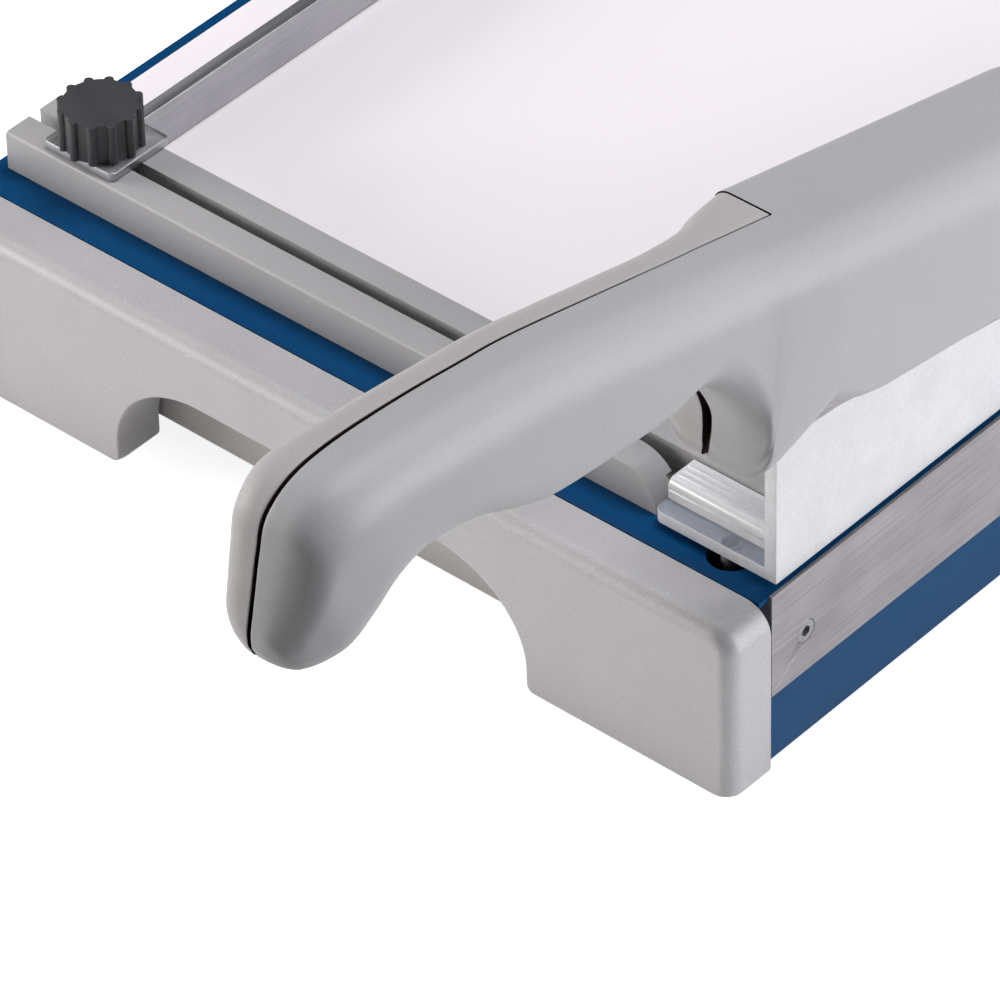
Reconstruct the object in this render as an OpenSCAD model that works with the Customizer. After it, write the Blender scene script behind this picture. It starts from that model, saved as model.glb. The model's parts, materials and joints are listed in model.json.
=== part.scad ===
// Desk paper cutter with a long hand lever, a curved moving blade, a clear
// spring-lifted guard and a sliding backstop. Millimetres, +Z up.
// Working frame: x = 0 is the cutting plane, y = 0 the back of the front panel,
// z = 0 the top of the table. place() moves it to the middle of the footprint.

/* [Table] */
// Cutting length between the two fences
cut_l = 340; // [280:5:420]
// Table width from its left edge to the cutting plane
table_w = 262; // [230:2:320]
// Height of the table's sides
side_h = 52.2; // [49:0.2:60]
// Thickness of the table's steel sheet
sheet_t = 1.5; // [1:0.1:2]
// Strip of sheet in front of the front fence
front_strip = 9.7; // [9:0.1:12]
// Strip of sheet behind the rear fence
rear_strip = 19.7; // [19:0.1:30]
// Width of the right side rail
rail_w = 20; // [18:0.5:24]
// Width of the left side rail
left_rail_w = 15; // [15:0.5:20]
// Thickness of the worktop board
board_t = 1.1; // [0.8:0.1:1.1]

/* [Panels] */
// Depth of the front and rear panels
panel_d = 15; // [14:0.5:20]
// How far a panel stands past the table at each side
panel_over = 3.1; // [1.5:0.1:3.1]
// Height of the panel's band between its legs
band_h = 19.5; // [15:0.5:20]
// Width of each panel leg
leg_w = 66.1; // [50:0.1:75]
// Length of the arch's curve beside a leg
arch_w = 29; // [16:0.5:32]
// Rise of the arch's curve beside a leg
arch_rise = 25.5; // [16:0.5:26]
// Radius of the panel's top corners, seen from the front
corner_r = 8; // [5:0.5:10]
// Radius along the panel's outer edges
edge_r = 4.5; // [2:0.5:6]
// Wall of the panel mouldings
panel_wall = 3; // [2:0.1:3.5]

/* [Fences] */
// Depth of a fence bar
fence_d = 21.3; // [20:0.1:24]
// Height of a fence bar
fence_h = 11.5; // [11:0.1:14]
// Width of the slot in a fence
slot_w = 3.9; // [3.8:0.1:4.5]
// Distance from the front rib's end to the cutting plane
rib_gap = 41; // [41:0.5:60]
// Radius of the rounded end of the front rib
rib_end_r = 12; // [8:0.5:16]

/* [Blades] */
// Thickness of the fixed blade
fixed_t = 5; // [4:0.5:6]
// Height of the fixed blade
fixed_h = 31.5; // [28:0.5:34]
// Thickness of the moving blade
moving_t = 3; // [2.5:0.1:3.2]
// Height of the moving blade at its ends
moving_h = 30; // [27:0.5:31]
// Extra depth of the moving blade at the middle of its curve
belly = 5; // [3:0.5:7]

/* [Lever] */
// How far the lever is raised in its stored pose, in degrees
rest_angle = 8.2; // [4:0.1:12]
// Height of the pivot above the table
pivot_h = 10; // [9:0.5:11]
// Distance from the end of the cut to the pivot
pivot_back = 19; // [18.5:0.1:22]
// Reach of the lever's spur in front of the table sheet
spur_reach = 26; // [24:0.5:30]
// Length of the grip in front of the spur
grip_l = 158; // [130:1:180]
// Height of the grip's crest above the pivot, lever down
crest_h = 58.5; // [57:0.5:64]
// Width of the grip right of the parting plane
grip_right = 18.5; // [17:0.1:21]
// Width of the grip left of the parting plane
grip_left = 11.5; // [10.5:0.1:13]
// Thickness of the hood over the guard
hood_t = 13; // [11:0.5:13.5]
// How far the hood stands out left of the grip
flare = 6; // [3:0.5:8]

/* [Guard] */
// Height of the guard's wall at its front end
guard_h = 44; // [30:0.5:45]
// Thickness of the guard's wall
guard_t = 3.7; // [3:0.1:4]
// Gap under the guard, which is also how far it can be pressed down
guard_lift = 1.3; // [1.2:0.1:1.6]
// Length of the guard's foot across the table
guard_foot_l = 38.3; // [36:0.1:39]

/* [Hidden] */
$fn = 48;

// Overrun of every cut past the face it opens
over = 1;
// Gap of a sliding fit, per side
slide_gap = 0.1;
// Radial gap of a turning or guiding round fit
run_gap = 0.05;

// Table lines along y
fence_y = front_strip;
cut_y0 = fence_y + fence_d;
cut_y1 = cut_y0 + cut_l;
rear_fence_y = cut_y1;
table_d = cut_y1 + fence_d + rear_strip;
// Joint line between the sheet and the panels
sheet_gap = 0.2;
// Width of the bright top land of the fixed blade
land = 1;
sheet_right = -land - run_gap;

// Rubber feet
foot_r = 7;
foot_h = 3.5;
foot_inset = 24;
foot_head_r = 3;
foot_head_h = 1.5;
foot_head_up = 1;
small_screw_r = 1.5;
foot_bite = 8;
foot_x = [-rail_w / 2, -table_w + left_rail_w / 2];
foot_y = [foot_inset, table_d - foot_inset];

// Rails under the sheet
rail_face = 0.6;
end_rail_t = 3;
end_rail_gap = 2;
end_rail_up = 5.4;
brace_t = 3;
brace_h = 24;
brace_drop = 8;
brace_shares = [0.3, 0.7];
rail_inner = -rail_w;
left_inner = -table_w + left_rail_w;

// Panels
panel_x0 = -table_w - panel_over;
panel_x1 = panel_over;
boss_r = 4;
boss_drop = 9;
boss_shares = [0.12, 0.37, 0.63, 0.88];
panel_screw_head_r = 3;
panel_screw_head_h = 2;
panel_screw_bite = 8;
leg_foot_r = 3;

// Fence bars
slot_share = 0.413;
slot_y = fence_d * slot_share;
cavity_w = 8;
cavity_h = 5;
fence_floor = 2;
fence_left = 4;
long_rib_gap = 6.5;
rear_fence_gap = 46;
fence_round = 1;
fence_screw_head_r = 2.8;
fence_screw_head_h = 1.4;
fence_screw_shares = [0.1, 0.5, 0.88];
fence_screw_down = 7;
fence_nut_r = 3.2;
fence_nut_h = 2.4;

// Fixed blade and its screws
fixed_y0 = 3.7;
fixed_end_gap = 2.7;
fixed_y1 = cut_y1 + fixed_end_gap;
fixed_screws = 5;
fixed_screw_y = 16.7;
fixed_screw_share = 0.6;
blade_head_r = 3.3;
blade_head_h = 1.8;
blade_screw_r = 2;
fixed_screw_l = 10;

// Hinge bracket and pivot
pivot_y = cut_y1 + pivot_back;
bracket_t = 10;
bracket_w = 28;
bracket_down = 40;
bracket_top_r = bracket_w / 2;
bracket_gap = 0.1;
bracket_screw_r = 2.5;
bracket_head_r = 4.6;
bracket_head_h = 2.6;
bracket_screw_l = 18;
bracket_screw_down = 20;
bracket_screw_step = 12;
bracket_screw_side = 7;
bolt_r = 6;
bolt_head_r = 9;
bolt_head_h = 6;
bush_wall = 2;
blade_gap = 0.15;
web_x = blade_gap + moving_t;
hub_proud = 0.5;
arm_x1 = 21;
hub_x1 = arm_x1 + hub_proud;
washer_r = 11.5;
disc_t = 1.1;
disc_rise = 0.9;
disc_r = 10.5;
disc_top_r = 8;
plain_washer_t = 2;
nut_r = 10.5;
nut_h = 10;
bolt_end = 2;

// Lever side outline, measured with the lever down: u forward of the pivot,
// w above it
boss_w = 18.5;
spur_u = pivot_y + spur_reach;
parting_x = 1.5;
seam = 0.4;
end_seam = 0.8;
grip_round = 12;
cover_round = 9;
arc_steps = 5;
row_steps = 3;
web_w = 2;
web_start = 7.6;
// Grip and spur, tip first: along and height of the crest line, along and
// height of the underside, right width, left width, roundness, flare.
// Along is a share of grip_l from the spur, height a share of crest_h.
grip_shares = [
    [0.9965, 0.236, 0.979, 0.160, 0.22, 0.30, 0.22, 0],
    [0.9995, 0.290, 0.962, 0.130, 0.43, 0.60, 0.50, 0],
    [0.9980, 0.375, 0.936, 0.099, 0.58, 0.84, 0.70, 0],
    [0.9955, 0.495, 0.904, 0.112, 0.71, 0.92, 0.82, 0],
    [0.9925, 0.640, 0.868, 0.161, 0.83, 0.97, 0.88, 0],
    [0.9830, 0.795, 0.828, 0.263, 0.90, 1.06, 0.93, 0],
    [0.9335, 0.911, 0.789, 0.378, 0.96, 1.16, 0.97, 0],
    [0.8450, 0.969, 0.735, 0.444, 0.98, 1.04, 1.00, 0],
    [0.7120, 0.9965, 0.640, 0.445, 1.00, 1.00, 1.00, 0],
    [0.5850, 1.004, 0.541, 0.369, 1.00, 1.00, 1.00, 0],
    [0.4775, 1.001, 0.454, 0.334, 1.00, 1.00, 1.00, 0],
    [0.231, 0.949, 0.242, 0.372, 1.00, 1.00, 1.00, 0],
    [0.141, 0.928, 0.150, 0.440, 1.00, 1.00, 1.00, 0],
    [0.076, 0.916, 0.090, 0.370, 1.00, 1.00, 0.96, 0.05],
    [0.038, 0.908, 0.046, 0.250, 1.00, 1.00, 0.94, 0.14],
    [0.016, 0.903, 0.018, 0.125, 1.01, 1.02, 0.92, 0.22],
    [0.003, 0.899, 0.008, 0.020, 1.02, 1.03, 0.92, 0.30],
    [-0.013, 0.896, 0.004, -0.080, 1.03, 1.03, 0.92, 0.45],
    [-0.051, 0.887, -0.012, -0.140, 1.05, 1.00, 0.92, 0.70],
    [-0.0975, 0.877, -0.155, -0.115, 1.07, 0.96, 0.92, 1.00]];
// Top edge of the arm: a straight line from the pivot boss to the spur
spur_top = crest_h * grip_shares[19][1];
spur_end = spur_u + grip_l * grip_shares[19][0];
spur_end_low = spur_u + grip_l * grip_shares[19][2];
arm_slope = (spur_top - boss_w) / spur_end;
web_u = spur_end_low - web_start;
spur_low = crest_h * grip_shares[19][3];
// Underside of the arm, and the hood's plan: shares of spur_end
hood_full_share = 0.74;
hood_end_share = 0.36;
rear_share = 0.1;
arm_round = 11;
hood_round = 5;

// Hollow of the two grip halves: wall, its floor over the spur as a share of
// crest_h, and how deep it is at each station of grip_shares
shell_wall = 3;
floor_share = 0.4;
depth_shares = [0.04, 0.04, 0.04, 0.04, 0.04, 0.5, 0.9, 1, 1, 1, 1, 1, 1, 1, 1, 1,
    1, 1, 1, 1];
// The right half's underside climbs behind the spur to the web's edge, and the
// cover's upper left edge gets sharper with its flare
lift_share = 0.15;
edge_share = 0.4;
// Tongue of the arm inside the grip
tongue_t = 6;
tongue_gap = 0.35;
tongue_share = 0.32;
tongue_rows = [6, 18];

// Web pocket, open below
web_wall = 4;
web_pocket_roof = 5.5;
web_pocket_shares = [0.12, 0.93];

// Cover screws: along as a share of grip_l, height as a share of crest_h
cover_screw_shares = [[0.70, 0.70], [0.36, 0.64], [-0.02, 0.62]];
cover_head_r = 2.8;
cover_head_h = 1.6;
spacer_r = 4;

// Rubber buffer under the spur
buffer_r = 3.5;
buffer_in = 4;
buffer_x = -4;
buffer_share = -0.118;
buffer_gap = 0.3;

// Moving blade, in the lever's outline
moving_y0 = 8;
moving_u1 = pivot_y - moving_y0;
moving_u0 = boss_w + over;
moving_top = 16;
moving_nose = 8;
moving_screws = 5;
moving_screw_w = 9;
moving_screw_shares = [0.1, 0.93];
moving_boss_r = 5.5;

// Clear guard
guard_x1 = -1.3;
guard_y0 = 6.8;
guard_plate = 3.5;
guard_tier = 9.2;
guard_tier_y = 12.2;
guard_tier_r = 2.4;
guard_foot_y1 = 22.2;
guard_corner = 2.5;
guard_flange = 20.7;
guard_bridge = 3.9;
rear_foot_d = 20.5;
rear_foot_x1 = -17.5;
guard_x0 = guard_x1 - guard_foot_l;
guard_clear = 0.5;
bridge_y0 = cut_y1 + guard_clear;
bridge_y1 = bridge_y0 + guard_bridge;

// Guide posts, their cups, springs and clips
post_x = [-17.7, -28];
post_y = [9.7, bridge_y0 + rear_foot_d / 2 + over];
post_r = 2.5;
post_in = 2.5;
cup_r = 8.5;
cup_bore = 6;
cup_depth = 24.5;
cup_floor = 3;
collar_drop = 8;
collar_t = 2;
collar_r = 4.6;
clip_t = 1;
clip_r = 4.8;
post_tail = 1.5;
spring_wire = 0.9;
spring_r = 4.1;
spring_turns = 7;
wire_sides = 6;
turn_steps = 16;

// Backstop
stop_x = -234;
stop_t = 4;
stop_l = 170;
stop_plate_w = 24;
stop_plate_t = 2.5;
stop_lap = 1.5;
slider_l = 24;
knob_r = 10;
knob_h = 12;
knob_ribs = 12;
knob_rib_r = 1.3;
stud_r = 1.6;
stud_bite = 4;

// Frame at the middle of the footprint, on the surface it stands on
tip_y = pivot_y - (spur_u + grip_l * grip_shares[1][0]) * cos(rest_angle)
    + crest_h * grip_shares[1][1] * sin(rest_angle);
bolt_x1 = hub_x1 + 2 * (disc_t + disc_rise) + plain_washer_t + nut_h + bolt_end;
mid_x = (panel_x0 + bolt_x1) / 2;
mid_y = (tip_y + table_d + panel_d) / 2;

module place() {
    translate([-mid_x, -mid_y, side_h + foot_h]) children();
}

// Lever frame: the pivot is the origin, -y points to the grip with it down
module on_lever() {
    place() translate([0, pivot_y, pivot_h]) rotate([-rest_angle, 0, 0])
        children();
}

module box(x0, x1, y0, y1, z0, z1) {
    translate([x0, y0, z0]) cube([x1 - x0, y1 - y0, z1 - z0]);
}

// Extrudes a (y, z) outline along x
module along_x(x0, x1) {
    translate([x0, 0, 0]) rotate([90, 0, 90]) linear_extrude(x1 - x0)
        children();
}

// Extrudes an (x, z) outline along y
module along_y(y0, y1) {
    translate([0, y1, 0]) rotate([90, 0, 0]) linear_extrude(y1 - y0)
        children();
}

module rod_x(x0, x1, y, z, r) {
    translate([x0, y, z]) rotate([0, 90, 0]) cylinder(h = x1 - x0, r = r);
}

module rod_y(y0, y1, x, z, r) {
    translate([x, y0, z]) rotate([-90, 0, 0]) cylinder(h = y1 - y0, r = r);
}

module rod_z(z0, z1, x, y, r) {
    translate([x, y, z0]) cylinder(h = z1 - z0, r = r);
}

// Flat plate from z0 to z1 with round corners
module round_plate(x0, x1, y0, y1, z0, z1, r) {
    box(x0 + r, x1 - r, y0, y1, z0, z1);
    box(x0, x1, y0 + r, y1 - r, z0, z1);
    for (x = [x0 + r, x1 - r], y = [y0 + r, y1 - r]) rod_z(z0, z1, x, y, r);
}

function spread(a, b, n) = [for (i = [0 : n - 1]) a + (b - a) * i / (n - 1)];
function mix(a, b, t) = a + (b - a) * t;
function arc(cx, cy, r, a0, a1, n) =
    [for (i = [0 : n]) let (a = mix(a0, a1, i / n))
        [cx + r * cos(a), cy + r * sin(a)]];
function oval(cx, cy, rx, ry, a0, a1, n) =
    [for (p = arc(0, 0, 1, a0, a1, n)) [cx + rx * p[0], cy + ry * p[1]]];

// Table

module table_top() {
    color("#0b4474") place() difference() {
        box(-table_w, sheet_right, sheet_gap, table_d - sheet_gap, -sheet_t, 0);
        for (i = [0, 1]) rod_z(-sheet_t - over, over, post_x[i], post_y[i], cup_bore);
        box(-bracket_t - bracket_gap, over, pivot_y - bracket_w / 2 - bracket_gap,
            pivot_y + bracket_w / 2 + bracket_gap, -sheet_t - over, over);
        for (p = fence_screw_places()) rod_z(-sheet_t - over, over, p[0], p[1],
            small_screw_r);
    }
}

module worktop_board() {
    board_inset = 4;
    board_right = 24;
    color("#eae7f0") place() box(-table_w + board_inset, -board_right,
        cut_y0, cut_y1, 0, board_t);
}

// Blue aluminium rail that carries the fixed blade and the hinge bracket
module side_rail() {
    color("#0b4474") place() difference() {
        union() {
            box(-rail_w, -fixed_t, 0, table_d, -side_h, -sheet_t);
            box(-rail_w, -rail_face, 0, table_d, -side_h, -fixed_h);
        }
        box(-bracket_t, over, pivot_y - bracket_w / 2, pivot_y + bracket_w / 2,
            -bracket_down, over);
        for (y = fixed_screw_ys()) rod_x(-fixed_screw_l, over, y,
            -fixed_h * fixed_screw_share, blade_screw_r);
        for (p = bracket_screw_yz()) rod_x(-bracket_screw_l, over, p[0], p[1],
            bracket_screw_r);
        for (i = [0, 1]) rod_z(-cup_depth - cup_floor - sheet_t, over,
            post_x[i], post_y[i], cup_r + slide_gap);
        for (i = [0, 1]) rod_z(-side_h - over, -side_h + clip_room(),
            post_x[i], post_y[i], clip_r + over);
        for (y = foot_y) rod_z(-side_h - over, -side_h + foot_bite, foot_x[0], y,
            small_screw_r);
    }
}

module left_rail() {
    color("#0b4474") place() difference() {
        box(-table_w, left_inner, 0, table_d, -side_h, -sheet_t);
        for (y = foot_y) rod_z(-side_h - over, -side_h + foot_bite, foot_x[1], y,
            small_screw_r);
    }
}

// Grey rail behind a panel's arch
module end_rail(y0) {
    difference() {
        box(left_inner, rail_inner, y0, y0 + end_rail_t,
            -side_h + end_rail_up, -sheet_t);
        for (x = panel_boss_xs()) rod_y(y0 - over, y0 + end_rail_t + over, x,
            -boss_drop, small_screw_r);
    }
}

module front_rail() {
    color("#9f9b99") place() difference() {
        end_rail(end_rail_gap);
        rod_z(cup_z0 - over, over, post_x[0], post_y[0], cup_r + slide_gap);
    }
}

module rear_rail() {
    color("#9f9b99") place() end_rail(table_d - end_rail_gap - end_rail_t);
}

module cross_braces() {
    color("#8d9196") place() for (s = brace_shares) box(left_inner, rail_inner,
        table_d * s, table_d * s + brace_t, -brace_drop - brace_h, -brace_drop);
}

// Panels

// Front view of a panel, drawn inset by d from its outline
module panel_outline(d) {
    x0 = panel_x0 + d;
    x1 = panel_x1 - d;
    z0 = -side_h + d;
    r = corner_r - d;
    a = arch_w + d;
    b = arch_rise + d;
    foot = min(leg_foot_r, edge_r);
    polygon(concat(
        arc(x1 - r, -d - r, r, 0, 90, 6),
        arc(x0 + r, -d - r, r, 90, 180, 6),
        arc(x0 + foot, z0 + foot, foot, 180, 270, 4),
        arc(x0 + leg_w - 2 * d - foot, z0 + foot, foot, 270, 360, 4),
        oval(x0 + leg_w - 2 * d + a, -band_h + d - b, a, b, 180, 90, 14),
        oval(x1 - leg_w + 2 * d - a, -band_h + d - b, a, b, 90, 0, 14),
        arc(x1 - leg_w + 2 * d + foot, z0 + foot, foot, 180, 270, 4),
        arc(x1 - foot, z0 + foot, foot, 270, 360, 4)));
}

function panel_boss_xs() = [for (s = boss_shares) mix(left_inner, rail_inner, s)];

// Panel whose outer face looks to -y and whose back lies in y = 0
module panel() {
    difference() {
        intersection() {
            along_y(-panel_d, 0) panel_outline(0);
            along_x(panel_x0 - over, panel_x1 + over) polygon(concat(
                [[0, -side_h], [0, 0]],
                arc(-panel_d + edge_r, -edge_r, edge_r, 90, 180, 8),
                [[-panel_d, -side_h]]));
            translate([0, 0, -side_h - over]) linear_extrude(side_h + 2 * over)
                polygon(concat([[panel_x1, 0], [panel_x0, 0]],
                    arc(panel_x0 + edge_r, -panel_d + edge_r, edge_r, 180, 270, 8),
                    arc(panel_x1 - edge_r, -panel_d + edge_r, edge_r, 270, 360, 8)));
        }
        along_y(-panel_d + panel_wall, over) panel_outline(panel_wall);
    }
    difference() {
        for (x = panel_boss_xs()) rod_y(-panel_d + panel_wall, end_rail_gap, x,
            -boss_drop, boss_r);
        for (x = panel_boss_xs()) rod_y(-panel_screw_bite, end_rail_gap + over, x,
            -boss_drop, small_screw_r);
    }
}

module front_panel() {
    color("#b4b3b8") place() panel();
}

module rear_panel() {
    color("#b4b3b8") place() translate([0, table_d, 0]) mirror([0, 1, 0]) panel();
}

module panel_screws() {
    color("#77797c") place() for (x = panel_boss_xs()) {
        head = end_rail_gap + end_rail_t;
        rod_y(-panel_screw_bite, head, x, -boss_drop, small_screw_r);
        rod_y(head, head + panel_screw_head_h, x, -boss_drop, panel_screw_head_r);
        rod_y(table_d - head, table_d + panel_screw_bite, x, -boss_drop,
            small_screw_r);
        rod_y(table_d - head - panel_screw_head_h, table_d - head, x, -boss_drop,
            panel_screw_head_r);
    }
}

// Fences

// End view of a fence: two ribs, a slot and a wider cavity under it
module fence_profile() {
    mid = slot_y + slot_w / 2;
    r = fence_round;
    difference() {
        polygon(concat([[0, 0]],
            arc(r, fence_h - r, r, 180, 90, 4),
            arc(fence_d - r, fence_h - r, r, 90, 0, 4), [[fence_d, 0]]));
        translate([slot_y, fence_floor]) square([slot_w, fence_h]);
        translate([mid - cavity_w / 2, fence_floor]) square([cavity_w, cavity_h]);
    }
}

function fence_screw_xs() = [for (s = fence_screw_shares)
    mix(-table_w + fence_left, -rear_fence_gap, s)];
function fence_slot_y(y0) = y0 + slot_y + slot_w / 2;
function fence_screw_places() = [
    for (x = fence_screw_xs(), y = [fence_slot_y(fence_y),
        rear_fence_y + fence_d - slot_y - slot_w / 2]) [x, y]];

module fence_screw_holes() {
    for (p = fence_screw_places()) {
        rod_z(-over, fence_floor + over, p[0], p[1], small_screw_r);
        rod_z(fence_floor - fence_screw_head_h, fence_floor + over, p[0], p[1],
            fence_screw_head_r);
    }
}

module front_fence() {
    rib_end = -rib_gap;
    back = slot_y + slot_w;
    color("#adadae") place() difference() {
        translate([0, fence_y, 0]) along_x(-table_w + fence_left, -long_rib_gap)
            fence_profile();
        // The front rib and the floor stop at rib_end, with a rounded nose
        along_y(fence_y - over, fence_y + back) polygon(concat(
            [[rib_end - rib_end_r, fence_h + over]],
            arc(rib_end - rib_end_r, fence_h - rib_end_r, rib_end_r, 90,
                -asin((fence_h - rib_end_r) / rib_end_r), 12),
            [[rib_end, -over], [0, -over], [0, fence_h + over]]));
        fence_screw_holes();
    }
}

module rear_fence() {
    color("#adadae") place() difference() {
        translate([0, rear_fence_y + fence_d, 0]) mirror([0, 1, 0])
            along_x(-table_w + fence_left, -rear_fence_gap) fence_profile();
        fence_screw_holes();
    }
}

module fence_screws() {
    color("#77797c") place() for (p = fence_screw_places()) {
        rod_z(-fence_screw_down, fence_floor - fence_screw_head_h, p[0], p[1],
            small_screw_r);
        rod_z(fence_floor - fence_screw_head_h, fence_floor, p[0], p[1],
            fence_screw_head_r);
    }
}

module fence_nuts() {
    color("#8f9296") place() for (p = fence_screw_places()) difference() {
        translate([p[0], p[1], -sheet_t - fence_nut_h])
            cylinder(h = fence_nut_h, r = fence_nut_r, $fn = 6);
        rod_z(-sheet_t - fence_nut_h - over, over, p[0], p[1], small_screw_r);
    }
}

// Feet

module rubber_feet() {
    color("#26282a") place() for (x = foot_x, y = foot_y) difference() {
        rod_z(-side_h - foot_h, -side_h, x, y, foot_r);
        rod_z(-side_h - foot_h - over, -side_h - foot_h + foot_head_up
            + foot_head_h, x, y, foot_head_r);
        rod_z(-side_h - foot_h - over, -side_h + over, x, y, small_screw_r);
    }
}

module foot_screws() {
    head = -side_h - foot_h + foot_head_up;
    color("#77797c") place() for (x = foot_x, y = foot_y) {
        rod_z(head, head + foot_head_h, x, y, foot_head_r);
        rod_z(head + foot_head_h, -side_h + foot_bite, x, y, small_screw_r);
    }
}

// Fixed blade

function fixed_screw_ys() = spread(fixed_screw_y,
    fixed_y1 - fixed_screw_y + fixed_y0, fixed_screws);

module fixed_blade() {
    color("#a19da0") place() difference() {
        along_y(fixed_y0, fixed_y1) polygon([[0, 0], [-land, 0],
            [-land, -sheet_t], [-fixed_t, -sheet_t], [-fixed_t, -fixed_h],
            [0, -fixed_h]]);
        for (y = fixed_screw_ys()) {
            rod_x(-fixed_t - over, over, y, -fixed_h * fixed_screw_share,
                blade_screw_r);
            rod_x(-blade_head_h, over, y, -fixed_h * fixed_screw_share,
                blade_head_r);
        }
    }
}

module fixed_blade_screws() {
    z = -fixed_h * fixed_screw_share;
    socket_r = blade_head_r * 0.42;
    color("#6f7276") place() for (y = fixed_screw_ys()) difference() {
        union() {
            rod_x(-fixed_screw_l, -blade_head_h, y, z, blade_screw_r);
            rod_x(-blade_head_h, 0, y, z, blade_head_r);
        }
        translate([0, y, z]) rotate([0, 90, 0])
            cylinder(h = blade_head_h, r = socket_r, center = true, $fn = 6);
    }
}

// Hinge

function bracket_screw_yz() = [
    [pivot_y - bracket_screw_side, -bracket_screw_down],
    [pivot_y + bracket_screw_side, -bracket_screw_down],
    [pivot_y, -bracket_screw_down - bracket_screw_step]];

module hinge_bracket() {
    color("#5c6065") place() difference() {
        union() {
            box(-bracket_t, 0, pivot_y - bracket_w / 2, pivot_y + bracket_w / 2,
                -bracket_down, pivot_h);
            rod_x(-bracket_t, 0, pivot_y, pivot_h, bracket_top_r);
        }
        rod_x(-bracket_t - over, over, pivot_y, pivot_h, bolt_r + run_gap);
        for (p = bracket_screw_yz()) {
            rod_x(-bracket_t - over, over, p[0], p[1], bracket_screw_r);
            rod_x(-bracket_head_h, over, p[0], p[1], bracket_head_r);
        }
    }
}

module bracket_screws() {
    socket_r = bracket_head_r * 0.45;
    color("#6f7276") place() for (p = bracket_screw_yz()) difference() {
        union() {
            rod_x(-bracket_screw_l, -bracket_head_h, p[0], p[1], bracket_screw_r);
            rod_x(-bracket_head_h, 0, p[0], p[1], bracket_head_r);
        }
        translate([0, p[0], p[1]]) rotate([0, 90, 0])
            cylinder(h = bracket_head_h, r = socket_r, center = true, $fn = 6);
    }
}

module pivot_bolt() {
    color("#9a9ca0") place() {
        rod_x(-bracket_t - bolt_head_h, -bracket_t, pivot_y, pivot_h, bolt_head_r);
        rod_x(-bracket_t, bolt_x1, pivot_y, pivot_h, bolt_r);
    }
}

// Ring round the pivot, from x0 to x1
module pivot_ring(x0, x1, r, bore) {
    difference() {
        rod_x(x0, x1, pivot_y, pivot_h, r);
        rod_x(x0 - over, x1 + over, pivot_y, pivot_h, bore);
    }
}

module thrust_washer() {
    color("#b08b4a") place() pivot_ring(0, web_x - hub_proud, washer_r, bolt_r);
}

// Two dished spring washers, rim to rim
module disc_springs() {
    high = disc_t + disc_rise;
    color("#74777b") place() translate([hub_x1, pivot_y, pivot_h])
        rotate([0, 90, 0]) rotate_extrude() union() {
            polygon([[bolt_r, 0], [disc_top_r, 0], [disc_r, disc_rise],
                [disc_r, high], [disc_top_r, disc_t], [bolt_r, disc_t]]);
            polygon([[bolt_r, 2 * high], [disc_top_r, 2 * high],
                [disc_r, 2 * high - disc_rise], [disc_r, high],
                [disc_top_r, 2 * high - disc_t], [bolt_r, 2 * high - disc_t]]);
        }
}

module pivot_washer() {
    x0 = hub_x1 + 2 * (disc_t + disc_rise);
    color("#9a9ca0") place() pivot_ring(x0, x0 + plain_washer_t, washer_r, bolt_r);
}

module pivot_nut() {
    x0 = hub_x1 + 2 * (disc_t + disc_rise) + plain_washer_t;
    color("#9a9ca0") place() difference() {
        translate([x0, pivot_y, pivot_h]) rotate([0, 90, 0])
            cylinder(h = nut_h, r = nut_r, $fn = 6);
        rod_x(x0 - over, x0 + nut_h + over, pivot_y, pivot_h, bolt_r);
    }
}

module pivot_bush() {
    color("#b08b4a") on_lever() difference() {
        rod_x(web_x - hub_proud, hub_x1, 0, 0, bolt_r + bush_wall);
        rod_x(web_x - over, hub_x1 + over, 0, 0, bolt_r + run_gap);
    }
}

// Lever

// Rows between the stations follow a smooth curve through them
function curve(a, b, c, d, t) = (2 * b + (c - a) * t
    + (2 * a - 5 * b + 4 * c - d) * t * t
    + (3 * b - a - 3 * c + d) * t * t * t) / 2;
function smooth(rows, n) = let (last = len(rows) - 1) concat(
    [for (i = [0 : last - 1], k = [0 : n - 1])
        curve(rows[max(i - 1, 0)], rows[i], rows[i + 1],
            rows[min(i + 2, last)], k / n)],
    [rows[last]]);

function row_top(s) = [spur_u + grip_l * s[0], crest_h * s[1]];
function row_low(s) = [spur_u + grip_l * s[2], crest_h * s[3]];

// Places the points (x, t) of a section on the line from low to top
function on_row(points, low, top) = let (h = norm(top - low)) [
    for (p = points) let (q = mix(low, top, p[1] / h)) [p[0], -q[0], q[1]]];

// Outer line of one grip half's section, from the parting line's top round to
// its bottom. side is 1 to the right and -1 to the left, d insets it, and f is
// a flare of the upper part
function half_line(x0, w, h, rt, rb, side, d, f) = let (
    t = max(rt - d, 0.3 * rt),
    b = max(rb - d, 0.3 * rb)) concat(
    [[x0, h - d]],
    [for (p = arc(0, 0, t, 90, 0, arc_steps))
        [x0 + side * (w + f - d - t + p[0]), h - d - t + p[1]]],
    [for (p = arc(0, 0, b, 0, -90, arc_steps))
        [x0 + side * (w - d - b + p[0]), d + b + p[1]]],
    [[x0, d]]);

// Section of a hollow half: its outer line, then its inner line backwards.
// lift raises the hollow's floor and g is how deep the hollow is
function half_ring(x0, w, h, rt, rb, side, f, lift, g) = let (
    outer = half_line(x0, w, h, rt, rb, side, 0, f),
    wall = min(shell_wall, h / 4),
    inner = half_line(x0, w, h, rt, rb, side, wall, f),
    n = len(inner),
    low = max(wall, min(lift, h - 2 * wall))) concat(outer,
    [for (i = [n - 1 : -1 : 0]) let (q = (inner[i][1] - wall) / (h - 2 * wall))
        [x0 + (inner[i][0] - x0) * g, low + q * (h - wall - low)]]);

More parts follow.
